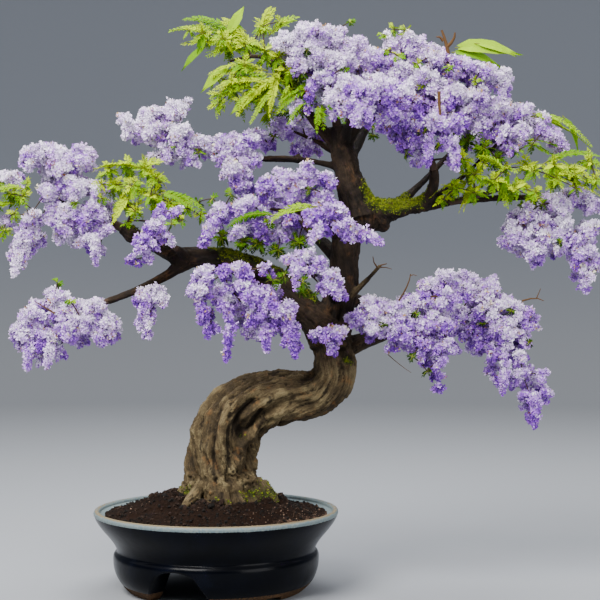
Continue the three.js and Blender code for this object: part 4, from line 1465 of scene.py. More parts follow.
@dataclass(frozen=True)
class Mass:
    """A mass of flowers or leaves that its bough carries, inside a rounded space.

    clusters are its clusters of flowers and tufts its clusters of small leaves, three numbers for
    each: the X and Z of its middle and its radius. They stand two deep where the mass has room, and
    a mass that names none has them dealt out evenly. tone is how violet its flowers are, from 0 to
    1, and leaf how dark its leaves are, from 0 to 5; both are set deeper for most masses that hang
    low or lie inside the crown, partly as painted shade. fronds, tails and straps are long fronds,
    hanging racemes and long simple leaves, six numbers for each: its root and its tip.
    """

    region: Region
    tip: Optional[str]
    middle: Triple
    half: Triple
    tone: float = 0.4
    clusters: Row = ()
    tufts: Row = ()
    leaf: float = 1.8
    fronds: Row = ()
    tails: Row = ()
    straps: Row = ()
    leafy: bool = False
    start: Triple = (133, -12, 284)

    def balls(self, spots: Row, tone: float, chance: Chance, near: float = -0.3) -> list[Ball]:
        """Gives clusters their depths.

        Args:
            spots: the clusters.
            tone: how deep their tints are.
            chance: its random numbers.
            near: how far forward the small ones stand, as a share of their room.

        Returns:
            The space of each cluster.
        """
        middle, half = np.array(self.middle, float), np.array(self.half, float)
        made = []
        for x, z, radius in np.reshape(spots, (-1, 3)):
            aside = ((x - middle[0]) / half[0]) ** 2 + ((z - middle[2]) / half[2]) ** 2
            room = max(half[1] - radius, 0) * math.sqrt(max(0.2, 1 - 0.8 * aside))
            for depth, drift in ((-0.65, 0.1), (0.6, 0.28)) if radius > 9.5 else ((near, 0.1),):
                place = np.array([x, middle[1] + depth * room, z])
                place = place + drift * radius * chance.normal(size=3)
                level = (z - middle[2]) / half[2]
                # Painted light: clusters that stand higher in the mass are paler.
                shade = tone - 0.13 * level + 0.08 * chance.normal()
                made.append(Ball(place, radius * (0.82 + 0.36 * chance.random(3)), shade))
        return made

    def dealt(self, chance: Chance) -> list[Ball]:
        """Deals clusters out evenly inside the mass."""
        middle, half = np.array(self.middle, float), np.array(self.half, float)
        count = round(half.mean() ** 2 / 190)
        ways = unit(spread(count, chance.random()) + 0.2 * chance.normal(size=(count, 3)))
        places = middle + half * ways * (0.45 + 0.25 * chance.random((count, 1)))
        # Painted light: clusters on the top of the mass are paler.
        shades = self.tone - 0.1 * ways[:, 2] + 0.09 * chance.normal(size=count)
        sizes = (12 + 5 * chance.random((count, 1))) * (0.9 + 0.22 * chance.random((count, 3)))
        return [Ball(*row) for row in zip(places, sizes, shades)]


LEFT, UPPER, CENTRE, TOP, RIGHT, LOW, BACK = Region
MASSES = {
    "leaves_top_left": Mass(TOP, "top_left", (16, -10, 604), (72, 50, 65),
        tufts=(-13, 630, 13, 10, 624, 14, 33, 621, 13, 52, 641, 11, 75, 647, 9, 56, 613, 12, 21, 578, 13,
        44, 572, 15, 67, 578, 15, 84, 590, 12, 56, 552, 12, 6, 561, 11, 32, 556, 10, 30, 594, 12,
        0, 584, 9, -30, 638, 9, 72, 604, 11, 82, 566, 9), leaf=0.7,
        fronds=(38, -12, 621, -50, -14, 638, 34, -12, 624, -34, -18, 650, 34, -14, 622, -36, -18, 622,
        40, -24, 612, -8, -30, 606, 50, -18, 630, 66, -22, 660, 60, -14, 632, 92, -20, 652,
        66, -30, 586, 2, -34, 556, 70, -34, 582, 26, -36, 542, 72, -30, 590, 62, -36, 540,
        60, -26, 590, -2, -30, 584, 62, -34, 574, 6, -38, 568, 74, -30, 580, 44, -36, 534,
        84, -30, 574, 78, -38, 544, 44, -14, 616, 10, -20, 646),
        straps=(16, -20, 636, 33, -22, 668, -14, -24, 616, -44, -24, 598, 14, -30, 594, -20, -32, 570,
        30, -16, 640, 6, -18, 656, 44, -34, 562, 14, -36, 544), leafy=True),
    "blossom_top_left": Mass(TOP, "stub", (130, -12, 596), (72, 50, 54), 0.14,
        (84, 624, 14, 110, 632, 16, 133, 628, 15, 156, 618, 15, 96, 605, 14, 121, 605, 16, 148, 598, 16,
        174, 605, 15, 132, 583, 12, 153, 575, 13, 174, 580, 13, 166, 560, 9, 194, 596, 13, 116, 578, 10,
        121, 551, 8, 108, 560, 8, 142, 566, 9, 98, 618, 12),
        tufts=(102, 566, 10, 122, 542, 9, 108, 552, 9, 140, 556, 8, 152, 644, 5, 96, 586, 10, 104, 612, 6,
        146, 590, 5, 160, 540, 8, 176, 529, 7, 180, 517, 6), leaf=3.2,
        fronds=(122, -40, 556, 154, -46, 536, 110, -38, 554, 84, -42, 530, 104, -36, 568, 76, -40, 548,
        116, -42, 548, 122, -46, 524)),
    "blossom_top": Mass(TOP, "top", (263, -8, 582), (80, 50, 57), 0.22,
        (202, 624, 13, 225, 618, 16, 250, 609, 15, 275, 598, 16, 301, 591, 15, 321, 579, 13, 211, 593, 16,
        239, 582, 16, 268, 570, 16, 296, 563, 15, 321, 556, 12, 200, 567, 15, 225, 555, 15, 252, 544, 14,
        205, 540, 13, 280, 540, 12),
        tufts=(202, 638, 8, 216, 636, 7, 194, 614, 6, 206, 606, 6, 190, 632, 5, 236, 576, 6, 262, 592, 5,
        228, 596, 5, 292, 578, 5), leaf=1.2, tails=(252, -50, 545, 256, -56, 506),
        straps=(278, -20, 618, 350, -24, 626, 274, -22, 612, 332, -26, 612, 300, -20, 622, 344, -24, 618,
        222, -20, 628, 214, -22, 646)),
    "blossom_drop": Mass(TOP, "right_rise", (230, -62, 510), (50, 38, 38), 0.48,
        (197, 523, 13, 218, 524, 15, 220, 503, 14, 223, 487, 9, 245, 523, 13, 260, 503, 11, 262, 486, 8,
        266, 526, 11, 205, 508, 9), tufts=(232, 512, 7, 248, 500, 6, 212, 492, 6), leaf=3.4,
        tails=(236, -84, 512, 235, -88, 476, 262, -80, 508, 267, -84, 472)),
    "blossom_shoulder": Mass(RIGHT, "shoulder", (343, 2, 526), (58, 46, 38), 0.24,
        (326, 544, 12, 349, 547, 12, 370, 540, 11, 326, 521, 13, 349, 524, 14, 374, 524, 11, 388, 514, 9,
        335, 503, 10, 305, 532, 12, 396, 504, 6),
        tufts=(286, 512, 11, 306, 502, 12, 322, 492, 10, 342, 498, 9, 360, 506, 8, 276, 524, 8,
        296, 520, 9), leaf=2.6, fronds=(358, -14, 540, 424, -20, 506, 352, -16, 512, 398, -20, 500),
        tails=(382, -20, 526, 398, -22, 500),
        straps=(366, -18, 542, 404, -22, 532, 398, -20, 536, 424, -22, 506)),
    "leaves_right": Mass(RIGHT, "right", (346, -22, 464), (98, 40, 38),
        tufts=(257, 443, 9, 271, 457, 12, 291, 471, 13, 291, 452, 11, 314, 463, 13, 337, 457, 12,
        355, 475, 12, 360, 452, 10, 381, 486, 12, 383, 467, 12, 404, 475, 12, 424, 486, 11, 429, 467, 10,
        280, 488, 10, 300, 486, 9, 330, 478, 10, 406, 456, 8), leaf=1.0,
        fronds=(290, -20, 466, 250, -26, 440, 290, -24, 462, 276, -30, 432, 380, -24, 478, 442, -28, 474,
        380, -24, 470, 438, -28, 452, 370, -26, 484, 430, -30, 494, 320, -26, 470, 330, -34, 436,
        330, -28, 474, 300, -34, 492, 340, -26, 470, 366, -30, 444),
        straps=(380, -30, 478, 420, -32, 470, 330, -34, 470, 322, -36, 438), leafy=True),
    "blossom_right_fall": Mass(RIGHT, "right_far", (392, 8, 398), (64, 44, 60), 0.15,
        (412, 450, 14, 378, 400, 13, 408, 399, 13, 354, 402, 12, 432, 440, 13, 389, 439, 14, 358, 431, 13,
        343, 414, 12, 372, 414, 15, 397, 414, 15, 424, 412, 15, 335, 395, 9, 363, 387, 12, 393, 391, 12,
        418, 386, 14, 434, 375, 11, 422, 361, 10, 366, 373, 6, 424, 346, 6),
        tufts=(390, 396, 6, 372, 440, 6, 350, 440, 5), leaf=3.4),
    "blossom_upper_left": Mass(UPPER, "upper_far", (-60, 12, 521), (60, 40, 41), 0.07,
        (-76, 546, 13, -53, 550, 13, -37, 556, 8, -99, 529, 12, -71, 526, 17, -44, 524, 15, -19, 515, 12,
        -59, 501, 11, -30, 498, 10, -74, 494, 8, -108, 540, 8), tufts=(-48, 506, 5, -20, 500, 6),
        leaf=2.6),
    "blossom_upper_inner": Mass(UPPER, "upper_left", (22, -8, 495), (33, 28, 41), 0.3,
        (10, 512, 13, 38, 513, 12, 24, 503, 16, 24, 481, 17, 28, 463, 12, 6, 494, 9, 44, 494, 9)),
    "blossom_inner": Mass(UPPER, "inner", (84, 38, 531), (42, 28, 34), 0.4,
        (52, 526, 11, 71, 538, 11, 82, 526, 9, 107, 515, 12, 117, 529, 10, 96, 541, 10, 62, 512, 7,
        94, 510, 7), tufts=(78, 550, 9, 100, 552, 9, 66, 522, 6), leaf=3.2,
        tails=(110, -38, 576, 104, -42, 540, 128, -38, 568, 134, -42, 532, 94, -32, 560, 88, -36, 528)),
    "blossom_left": Mass(LEFT, "left_tip", (-176, -6, 444), (86, 44, 72), 0.08,
        (-206, 497, 14, -188, 498, 13, -168, 492, 14, -152, 496, 15, -180, 480, 16, -232, 471, 10,
        -246, 474, 8, -163, 462, 20, -138, 460, 14, -189, 454, 13, -171, 424, 20, -142, 430, 17,
        -126, 415, 12, -144, 402, 12, -131, 389, 9, -216, 406, 14, -222, 388, 13, -210, 425, 10,
        -238, 424, 9, -224, 374, 7),
        tufts=(-246, 462, 9, -232, 452, 10, -215, 448, 9, -240, 410, 9, -250, 438, 8, -228, 430, 8,
        -212, 462, 7, -128, 446, 7, -158, 440, 5, -252, 420, 7), leaf=1.3,
        fronds=(-232, -26, 452, -260, -28, 462, -228, -26, 440, -260, -28, 430,
        -214, -34, 456, -248, -36, 450),
        tails=(-136, -34, 404, -133, -38, 370, -222, -30, 384, -226, -34, 358)),
    "leaves_left": Mass(LEFT, "left_leafy", (-64, -26, 446), (60, 34, 42),
        tufts=(-120, 478, 11, -100, 480, 12, -80, 478, 12, -65, 468, 11, -112, 460, 11, -92, 460, 12,
        -106, 440, 11, -90, 432, 11, -72, 448, 12, -52, 440, 11, -33, 434, 10, -18, 428, 8, -98, 420, 8,
        -128, 462, 8, -66, 430, 8), leaf=0.8,
        fronds=(-80, -40, 478, -132, -44, 478, -76, -40, 480, -60, -44, 486, -60, -40, 450, -14, -46, 426,
        -96, -40, 446, -112, -46, 422),
        straps=(-50, -40, 440, -40, -44, 414, -60, -40, 446, -66, -44, 418), leafy=True),
    "blossom_low_left": Mass(LEFT, "left_low", (-169, -22, 304), (63, 42, 50), 0.22,
        (-180, 336, 12, -203, 319, 15, -170, 318, 15, -136, 321, 13, -120, 309, 11, -219, 296, 14,
        -192, 296, 15, -163, 295, 15, -128, 293, 13, -203, 275, 11, -176, 272, 9, -148, 307, 12,
        -196, 262, 6, -222, 280, 8), tufts=(-176, 350, 5, -160, 330, 5), leaf=3.0,
        tails=(-206, -44, 284, -209, -48, 252, -182, -46, 282, -186, -50, 254)),
    "blossom_low_spur": Mass(LEFT, "left_spur", (-72, -42, 317), (24, 22, 34), 0.24,
        (-64, 343, 9, -77, 332, 12, -59, 331, 8, -76, 312, 11, -75, 296, 7)),
    "blossom_left_inner": Mass(LEFT, "left_inner", (-58, -52, 400), (31, 24, 34), 0.52,
        (-59, 426, 9, -42, 428, 7, -66, 409, 14, -76, 395, 12, -88, 377, 9, -51, 401, 9, -72, 378, 6),
        tufts=(-46, 414, 6, -34, 420, 5)),
    "blossom_centre": Mass(CENTRE, "centre_left", (62, -26, 434), (82, 42, 50), 0.42,
        (79, 470, 12, 102, 476, 13, 121, 468, 12, 59, 457, 12, 90, 456, 12, 126, 450, 9, 33, 440, 13,
        10, 429, 12, -3, 415, 9, -11, 399, 7, 27, 410, 10, 52, 406, 10, 74, 403, 8, 54, 430, 9,
        86, 422, 9, 112, 428, 11),
        tufts=(10, 402, 10, 30, 396, 10, 50, 392, 10, 72, 390, 10, 94, 396, 10, 116, 406, 9, -2, 444, 7,
        20, 448, 7, -18, 440, 6, 108, 456, 6, 60, 416, 7), leaf=3.1,
        fronds=(116, -60, 434, 66, -64, 420, 70, -62, 424, 22, -62, 414),
        tails=(4, -52, 420, -14, -54, 390)),
    "blossom_front": Mass(CENTRE, "front_centre", (142, -88, 413), (42, 30, 28), 0.46,
        (110, 422, 11, 131, 424, 13, 145, 411, 12, 161, 405, 9, 174, 398, 6, 124, 406, 8),
        tails=(152, -104, 408, 184, -108, 390, 120, -104, 412, 108, -106, 392)),
    "blossom_hang": Mass(CENTRE, "left_hang", (30, -66, 330), (66, 38, 56), 0.54,
        (-9, 361, 12, -13, 341, 12, -8, 320, 11, 0, 302, 8, 14, 364, 10, 36, 362, 11, 58, 367, 9,
        36, 342, 13, 57, 334, 14, 50, 313, 12, 74, 319, 13, 84, 298, 10, 56, 294, 7, 92, 282, 7,
        66, 300, 8, 16, 344, 7), tufts=(78, 356, 9, 96, 340, 8, 64, 352, 7, 86, 372, 7), leaf=4.0,
        tails=(22, -80, 306, 15, -82, 264, 10, -78, 330, 22, -80, 300, 78, -80, 314, 91, -84, 268,
        58, -82, 304, 60, -84, 274, -12, -80, 326, -4, -82, 290)),
    "blossom_trunk_front": Mass(CENTRE, "front_low", (108, -88, 358), (42, 30, 30), 0.44,
        (101, 380, 11, 118, 371, 10, 107, 364, 8, 129, 353, 12, 141, 340, 8, 86, 376, 8, 120, 342, 8),
        tufts=(100, 350, 8, 112, 336, 6), leaf=4.2,
        tails=(90, -100, 370, 93, -102, 342, 126, -104, 352, 138, -106, 332)),
    "blossom_low_inner": Mass(LOW, None, (135, -60, 288), (24, 22, 22), 0.44,
        (130, 291, 13, 118, 295, 8, 142, 297, 9, 132, 279, 8)),
    "blossom_low_right": Mass(LOW, "low_front", (212, -46, 300), (70, 38, 58), 0.36,
        (162, 311, 12, 180, 324, 14, 183, 303, 13, 205, 319, 15, 207, 296, 14, 230, 330, 14, 236, 306, 15,
        230, 283, 13, 243, 346, 12, 262, 354, 11, 258, 332, 14, 260, 306, 12, 248, 265, 11, 249, 247, 8,
        258, 282, 11, 196, 280, 8, 250, 234, 5),
        tufts=(238, 252, 6, 220, 268, 5, 224, 316, 5, 190, 304, 5), leaf=4.8),
    "blossom_low_far": Mass(LOW, "low_right", (330, 8, 282), (62, 40, 92), 0.38,
        (288, 356, 11, 281, 316, 13, 284, 298, 11, 293, 337, 14, 313, 346, 12, 331, 330, 13, 350, 316, 13,
        362, 305, 10, 304, 314, 15, 318, 325, 13, 327, 302, 15, 350, 291, 14, 302, 286, 13, 325, 274, 13,
        347, 267, 13, 318, 254, 9, 350, 245, 12, 368, 248, 11, 360, 222, 12, 376, 226, 10, 361, 206, 9,
        322, 240, 6, 362, 194, 6), tufts=(286, 344, 5, 336, 318, 6, 302, 304, 5, 356, 282, 5), leaf=4.8,
        tails=(331, -20, 262, 326, -22, 226, 366, -16, 224, 363, -18, 186)),
    "blossom_back_top": Mass(BACK, "back_top", (210, 124, 590), (100, 46, 52), 0.32),
    "blossom_back_right": Mass(BACK, "back_right", (331, 100, 548), (56, 42, 42), 0.3),
    "blossom_back_centre": Mass(BACK, "back_mid", (78, 100, 438), (66, 44, 44), 0.36),
    "blossom_back_low": Mass(BACK, "back_low", (247, 96, 302), (62, 42, 46), 0.36),
    "blossom_back_left": Mass(BACK, "back_left", (35, 96, 329), (52, 40, 44), 0.36),
    "blossom_top_front": Mass(UPPER, "top_front", (175, -110, 549), (62, 38, 36), 0.36),
}


# Bare twigs: root, end, radius and bow.
DEAD_TWIGS = (
    ((182, -24, 366), (194, -30, 372), 1.3, (0, 0, 3)),
    ((184, -25, 367), (178, -34, 380), 1.0, (-3, 0, 0)),
    ((186, -26, 368), (200, -24, 366), 0.8, (0, 0, 2)),
    ((206, -50, 330), (219, -54, 360), 1.2, (5, 0, 2)),
    ((218, -54, 358), (226, -56, 358), 0.7, (0, 0, 2)),
    ((232, -62, 334), (266, -60, 334), 1.3, (0, 0, 2)),
    ((350, -8, 330), (374, -14, 330), 1.2, (4, 0, 6)),
    ((366, -12, 333), (370, -16, 344), 0.7),
    ((190, -46, 274), (220, -50, 250), 0.6, (2, 0, -4)),
    ((-178, -46, 316), (-200, -52, 330), 1.2),
    ((264, -24, 590), (256, -28, 636), 3.4, (6, 0, 0)),
    ((261, -26, 616), (271, -30, 633), 2.4, (6, 0, 0)),
    ((258, -27, 624), (250, -30, 628), 1.8, (0, 0, 4)),
    ((250, -60, 562), (258, -62, 506), 2.0, (-5, 0, 0)),
    ((-40, 4, 560), (-30, 0, 556), 0.7),
)


@dataclass
class Twigs:
    """Thin wood: rows of stations, each row one twig."""

    rows: list[tuple[Points, Points]] = field(default_factory=list)

    def add(self, start: Points, end: Points, thick: float, thin: float, bow: Triple = (0, 0, 0)) -> None:
        """Adds a twig.

        Args:
            start: its root.
            end: its tip.
            thick: the radius of its root.
            thin: the radius of its tip.
            bow: how far its middle leaves the line.
        """
        start, end = np.asarray(start, float), np.asarray(end, float)
        control = (start + end) / 2 + np.asarray(bow, float)
        count = max(3, int(np.linalg.norm(end - start) / 9) + 2)
        along = np.linspace(0, 1, count)
        self.rows.append((bezier(start, control, end, along), thick + (thin - thick) * along))

    def build(self, name: str, finish: Material, sides: int) -> Thing:
        """Makes one piece of all the twigs by Geometry Nodes."""
        counts = [len(row[0]) for row in self.rows]
        starts = chain([[0], np.cumsum(counts)[:-1]])
        edges = [[s + k, s + k + 1] for s, n in zip(starts, counts) for k in range(n - 1)]
        places = chain([row[0] for row in self.rows])
        girth = chain([row[1] for row in self.rows])
        target = mesh_object(name, places, edges=edges, numbers={"girth": girth})
        maker = Maker(f"twigs_{name}")
        scale = maker.named("girth", "FLOAT") * maker.size("Girth", "Float", MM)
        count = maker.size("Sides", "Int", sides)
        sockets = {"Curve": maker.node("GeometryNodeMeshToCurve", {0: maker.geometry}),
            "Profile Curve": maker.node("GeometryNodeCurvePrimitiveCircle",
            {"Resolution": count, "Radius": 1.0}), "Scale": scale, "Fill Caps": True}
        maker.finish(maker.node("GeometryNodeCurveToMesh", sockets), [finish], None)
        return smooth_shaded(maker.bake(target))


def ends(reaches: Row) -> Points:
    """The root and the tip of each reach."""
    return np.reshape(np.array(reaches, float), (-1, 2, 3))


@dataclass
class Crown:
    """All the masses: twigs, clusters of flowers and fronds of leaves."""

    limbs: list[Limb]
    raceme_area: float = 300.0
    flower_area: float = 8.9
    girth: float = 0.42
    flower: float = 3.2
    hidden: float = 0.66
    cream: float = 0.02
    withered: float = 0.004
    frond_area: float = 112.0
    leaflet: float = 4.8
    wood: Twigs = field(default_factory=Twigs)
    dead: Twigs = field(default_factory=Twigs)
    stalks: Twigs = field(default_factory=Twigs)
    cloud: Noise = field(default_factory=lambda: Noise(12))

    def stem(self, mass: Mass) -> Points:
        """Grows a mass's stem from its bough's tip to its middle, and gives places along it."""
        middle = np.array(mass.middle, float)
        if mass.tip is None:
            start, ahead, thick = np.array(mass.start, float), np.array([0.0, -1.0, 0.0]), 3.5
        else:
            limb = next(limb for limb in self.limbs if limb.name == mass.tip)
            start, ahead = limb.place[-1] - 2 * limb.ahead[-1], limb.ahead[-1]
            thick = min(0.9 * limb.radius[-1], 6.0)
        lead = start + ahead * 0.35 * np.linalg.norm(middle - start)
        self.wood.add(start, middle, thick, 1.3, lead - (start + middle) / 2)
        return bezier(start, lead, middle, np.array([0.0, 0.35, 0.65, 1.0]))

    def join(self, stem: Points, balls: Sequence[Ball]) -> None:
        """Joins clusters by twigs, each to the nearest one that is closer to the bough."""
        joined = list(stem)
        for ball in sorted(balls, key=lambda b: float(np.linalg.norm(b.middle - stem[0]))):
            away = np.linalg.norm(np.array(joined) - ball.middle, axis=1)
            root = joined[int(np.argmin(away))]
            thick = 0.7 + 0.9 * math.exp(-(len(joined) - len(stem)) / 8)
            self.wood.add(root, ball.middle, thick, 0.55, (0, 0, 0.12 * float(away.min())))
            joined.append(ball.middle)

    def clear_of_wood(self, places: Points, room: float) -> Points:
        """True for each place that keeps its room from every limb."""
        radii = chain([limb.radius for limb in self.limbs]) + room
        blocks = gaps(places, chain([limb.place for limb in self.limbs]))
        return chain([(away > radii).all(1) for _, away in blocks])

    def flowers(self, ball: Ball, place: Points, facing: Points, shade: Points, chance: Chance) -> Spray:
        """Gives flowers their sizes, tints and shapes.

        Args:
            ball: their cluster.
            place: where they stand.
            facing: where they look.
            shade: how much deeper each is.
            chance: its random numbers.

        Returns:
            The flowers.
        """
        total = len(place)
        size = self.flower * (0.7 + 0.6 * chance.random(total))
        level = np.clip((place[:, 2] - ball.middle[2]) / ball.half[2], -1.3, 1.3)
        patch = self.cloud.layered(place / 15, 2) - 0.5
        # Painted light: flowers that stand higher in their cluster or face up are paler, lower ones deeper.
        score = ball.tone - 0.01 + shade - 0.17 * level - 0.13 * facing[:, 2] + 0.75 * patch
        score += 0.2 * chance.normal(size=total)
        tint = np.clip(np.round(score * 6.5), 0, Petal.DEEP).astype(int)
        lot = chance.random(total)
        tint[lot < self.cream] = Petal.CREAM
        tint[lot > 1 - self.withered * (1 + 2 * (patch > 0.1))] = Petal.TAN
        kind = chance.choice(4, total, p=[0.34, 0.3, 0.2, 0.16])
        return Spray(place, turns(facing, 6.28 * chance.random(total)), size, tint, kind)

    def racemes(self, ball: Ball, root: Points, tip: Points, girth: Points, chance: Chance) -> Spray:
        """Grows racemes, widest near their roots and pointed at their tips.

        Args:
            ball: their cluster.
            root: where each starts.
            tip: where each ends.
            girth: how wide each is.
            chance: its random numbers.

        Returns:
            The flowers.
        """
        count = len(root)
        length = np.linalg.norm(tip - root, axis=1)
        out = unit(tip - ball.middle)
        control = (root + tip) / 2 + (out * [1, 1, 0.4] + [0, 0, 0.35]) * (0.16 * length)[:, None]
        skins = 2 * math.pi * girth * (length + girth) * 0.75
        number = (skins / self.flower_area * (0.8 + 0.4 * chance.random(count))).astype(int) + 3
        which = np.repeat(np.arange(count), number)
        total = len(which)
        along = chance.random(total) ** 1.1
        here = bezier(root[which], control[which], tip[which], along)
        ahead = unit(bezier(root[which], control[which], tip[which], along + 0.06) - here)
        across = chance.normal(size=(total, 3)) + 0.7 * out[which]
        across = unit(np.cross(ahead, np.cross(across, ahead)))
        bulge = (1 - along**1.8) ** 0.7 * (0.6 + 0.4 * smooth(along, 0, 0.25))
        away = girth[which] * (0.12 + 0.88 * bulge) * (0.45 + 0.6 * chance.random(total))
        away *= np.where(chance.random(total) < 0.14, 1.5, 1.0)
        place = here + across * away[:, None]
        facing = unit(across + 0.3 * ahead + 0.45 * chance.normal(size=(total, 3)))
        shade = 0.12 * chance.normal(size=count)[which] + 0.08 * (along - 0.5)
        return self.flowers(ball, place, facing, shade, chance)

    def cluster(self, ball: Ball, others: Sequence[Ball], chance: Chance) -> Spray:
        """Grows a cluster: racemes outwards and down, and flowers between them.

        Args:
            ball: its space.
            others: its neighbours, whose insides stay empty.
            chance: its random numbers.

        Returns:
            The flowers that show.
        """
        count = max(5, round(ball.skin / self.raceme_area))
        out = unit(spread(count, chance.random()) + 0.25 * chance.normal(size=(count, 3)))
        root = ball.middle + ball.half * out * (0.15 + 0.35 * chance.random((count, 1)))
        low = smooth(-out[:, 2:], -0.1, 0.6)
        reach = 0.55 + 0.3 * chance.random((count, 1)) + 0.4 * low * chance.random((count, 1))
        tip = root + unit(out * [1, 1, 0.7] + [0, 0, -0.45]) * ball.half * reach
        girth = ball.radius * self.girth * (0.75 + 0.5 * chance.random(count))
        between = max(8, round(ball.skin / 80))
        ways = unit(spread(between, chance.random()) + 0.2 * chance.normal(size=(between, 3)))
        depth = 0.25 + 0.45 * chance.random(between)
        place = ball.middle + ball.half * ways * depth[:, None]
        facing = unit(ways + 0.5 * chance.normal(size=ways.shape))
        # Painted shade: the flowers inside the cluster are dealt tints 0.22 deeper.
        fill = self.flowers(ball, place, facing, 0.22 + 0 * depth, chance)
        grown = Spray.joined([self.racemes(ball, root, tip, girth, chance), fill])
        shown = self.clear_of_wood(grown.place, 1.0)
        for other in others:
            if np.linalg.norm(other.middle - ball.middle) < 2.4 * (other.radius + ball.radius):
                shown &= ~other.holds(grown.place, self.hidden)
        return grown.chosen(shown)

    def frond(self, start: Points, end: Points, chance: Chance, tint: int, wide: float) -> Spray:
        """Grows one frond, with its stalk.

        Args:
            start: its root.
            end: its tip.
            chance: its random numbers.
            tint: its green.
            wide: its longest leaflets.

        Returns:
            Its leaflets.
        """
        length = float(np.linalg.norm(end - start))
        sway = 0.06 * length * chance.normal(size=3)
        control = (start + end) / 2 + np.array([0, 0, 0.2 * length]) + sway
        pairs = max(4, int(length / (0.4 * wide)))
        along = np.linspace(0.12, 1.0, pairs)
        here = bezier(start, control, end, along)
        ahead = unit(bezier(start, control, end, along + 0.03) - here)
        roll = np.array([0.4 * chance.normal(), -0.75 + 0.5 * chance.normal(), 0.8])
        across = unit(np.cross(ahead, roll))
        up = unit(np.cross(across, ahead))
        reach = wide * (0.5 + 0.6 * np.sin(math.pi * np.clip(along, 0, 1) ** 0.8))
        self.stalks.add(start, end, 0.55, 0.25, control - (start + end) / 2)
        lean = [0.9 * ahead + hand * across - 0.12 * up for hand in (-1, 1)] + [ahead[-1:]]
        facing = chain(lean)
        facing = unit(facing + 0.16 * chance.normal(size=facing.shape))
        place = chain([here, here, here[-1:]])
        size = chain([reach, reach, reach[-1:] * 1.5]) * (0.8 + 0.35 * chance.random(len(place)))
        normal = chain([up, up, up[-1:]]) + 0.3 * chance.normal(size=facing.shape)
        kind = chance.integers(0, 2, len(place))
        tints = np.full(len(place), tint)
        return Spray(place, turns(facing, self.spin_to(facing, normal)), size, tints, kind)

    def strap(self, start: Points, end: Points, tint: int, kind: int) -> Spray:
        """Grows one long simple leaf on a short stalk."""
        way = unit(end - start)[None, :]
        self.stalks.add(start - 6 * way[0], start, 0.6, 0.6)
        spin = self.spin_to(way, np.array([[0.3, -0.75, 0.55]]))
        size = np.array([np.linalg.norm(end - start)])
        return Spray(start[None, :], turns(way, spin), size, np.array([tint]), np.array([kind]))

    @staticmethod
    def spin_to(ahead: Points, normal: Points) -> Points:
        """The spin about each direction that turns local Y towards a normal."""
        polar, around = bearing(ahead)
        (ca, sa), (cp, sp) = [(np.cos(v), np.sin(v)) for v in (around, polar)]
        x_axis, y_axis = np.stack([ca * cp, sa * cp, -sp], 1), np.stack([-sa, ca, 0 * around], 1)
        return np.arctan2(-(normal * x_axis).sum(1), (normal * y_axis).sum(1))

    def tuft(self, ball: Ball, chance: Chance) -> list[Spray]:
        """Grows a tuft of small fronds, paler on top and darker below as painted light and shade, with a
        long leaf here and there.
        """
        count = max(5, round(ball.skin / self.frond_area))
        out = unit(spread(count, chance.random()) + 0.35 * chance.normal(size=(count, 3)))
        grown = []
        for way in out:
            root = ball.middle + 0.12 * ball.half * way
            tip = ball.middle + ball.half * way * (0.8 + 0.4 * chance.random()) - [0, 0, 0.15 * ball.radius]
            # Painted light and shade: fronds that point up are paler, those that point down darker.
            tint = int(np.clip(round(ball.tone - 1.3 * way[2] + 0.7 * chance.normal()), 0, Green.DARK))
            if chance.random() < 0.1:
                grown.append(self.strap(root, tip + 0.3 * (tip - root), tint, 2 + int(tint % 2)))
            else:
                wide = self.leaflet * (0.7 + 0.5 * chance.random())
                grown.append(self.frond(root, tip, chance, tint, wide))
        return grown

    def greenery(self, mass: Mass, chance: Chance) -> list[Spray]:
        """Grows the long fronds and leaves of a mass."""
        grown: list[Spray] = []
        for root, tip in ends(mass.fronds):
            tint = int(np.clip(round(mass.leaf - 0.6 + 0.8 * chance.normal()), 0, 4))
            grown.append(self.frond(root, tip, chance, tint, 6.6))
            grown.append(self.frond(root, tip + 4 * chance.normal(size=3), chance, tint, 5.2))
        for number, (root, tip) in enumerate(ends(mass.straps)):
            grown.append(self.strap(root, tip, 1 + number % 2, 2 + number % 2))
        return grown

    def build(self) -> None:
        """Makes the flowers by region, the leaves and the twigs, and keeps them as pieces."""
        flowers: dict[Region, list[Spray]] = {region: [] for region in Region}
        leaves: list[Spray] = []
        for number, mass in enumerate(MASSES.values()):
            chance = np.random.default_rng(101 + 37 * number)
            stem = self.stem(mass)
            balls = mass.balls(mass.clusters, mass.tone, chance)
            if not (mass.clusters or mass.leafy):
                balls = mass.dealt(chance)
            tufts = mass.balls(mass.tufts, mass.leaf, chance, -0.3 if mass.leafy else -0.8)
            self.join(stem, balls + tufts)
            for ball in balls:
                others = [other for other in balls if other is not ball]
                flowers[mass.region].append(self.cluster(ball, others, chance))
            for root, tip in ends(mass.tails):
                ball = Ball(root, np.full(3, 24.0), mass.tone)
                girth = np.array([6.0])
                flowers[mass.region].append(self.racemes(ball, root[None], tip[None], girth, chance))
            for ball in tufts:
                leaves += self.tuft(ball, chance)
            leaves += self.greenery(mass, chance)
        for start, end, thick, *bow in DEAD_TWIGS:
            self.dead.add(start, end, thick, 0.4 * thick, *bow)
        shapes = [Scatter.flower(5, 0.4, 0.34, 3), Scatter.flower(4, 0.46, 0.5, 4),
            Scatter.flower(5, 0.36, 0.75, 2), Scatter.bud()]
        petals = tinted("petal", Petal, PETAL_COLOURS, 0.7, 0.1, 0.25)
        for region, sprays in flowers.items():
            piece = Scatter(f"flowers_{region.value}", shapes, petals).build(Spray.joined(sprays))
            keep(piece, [n for n, m in MASSES.items() if m.region is region and not m.leafy])
        blades = [Scatter.leaflet(0.34, 0.05), Scatter.leaflet(0.42, 0.1)]
        blades += [Scatter.blade(0.15, 0.34), Scatter.blade(0.12, 0.5)]
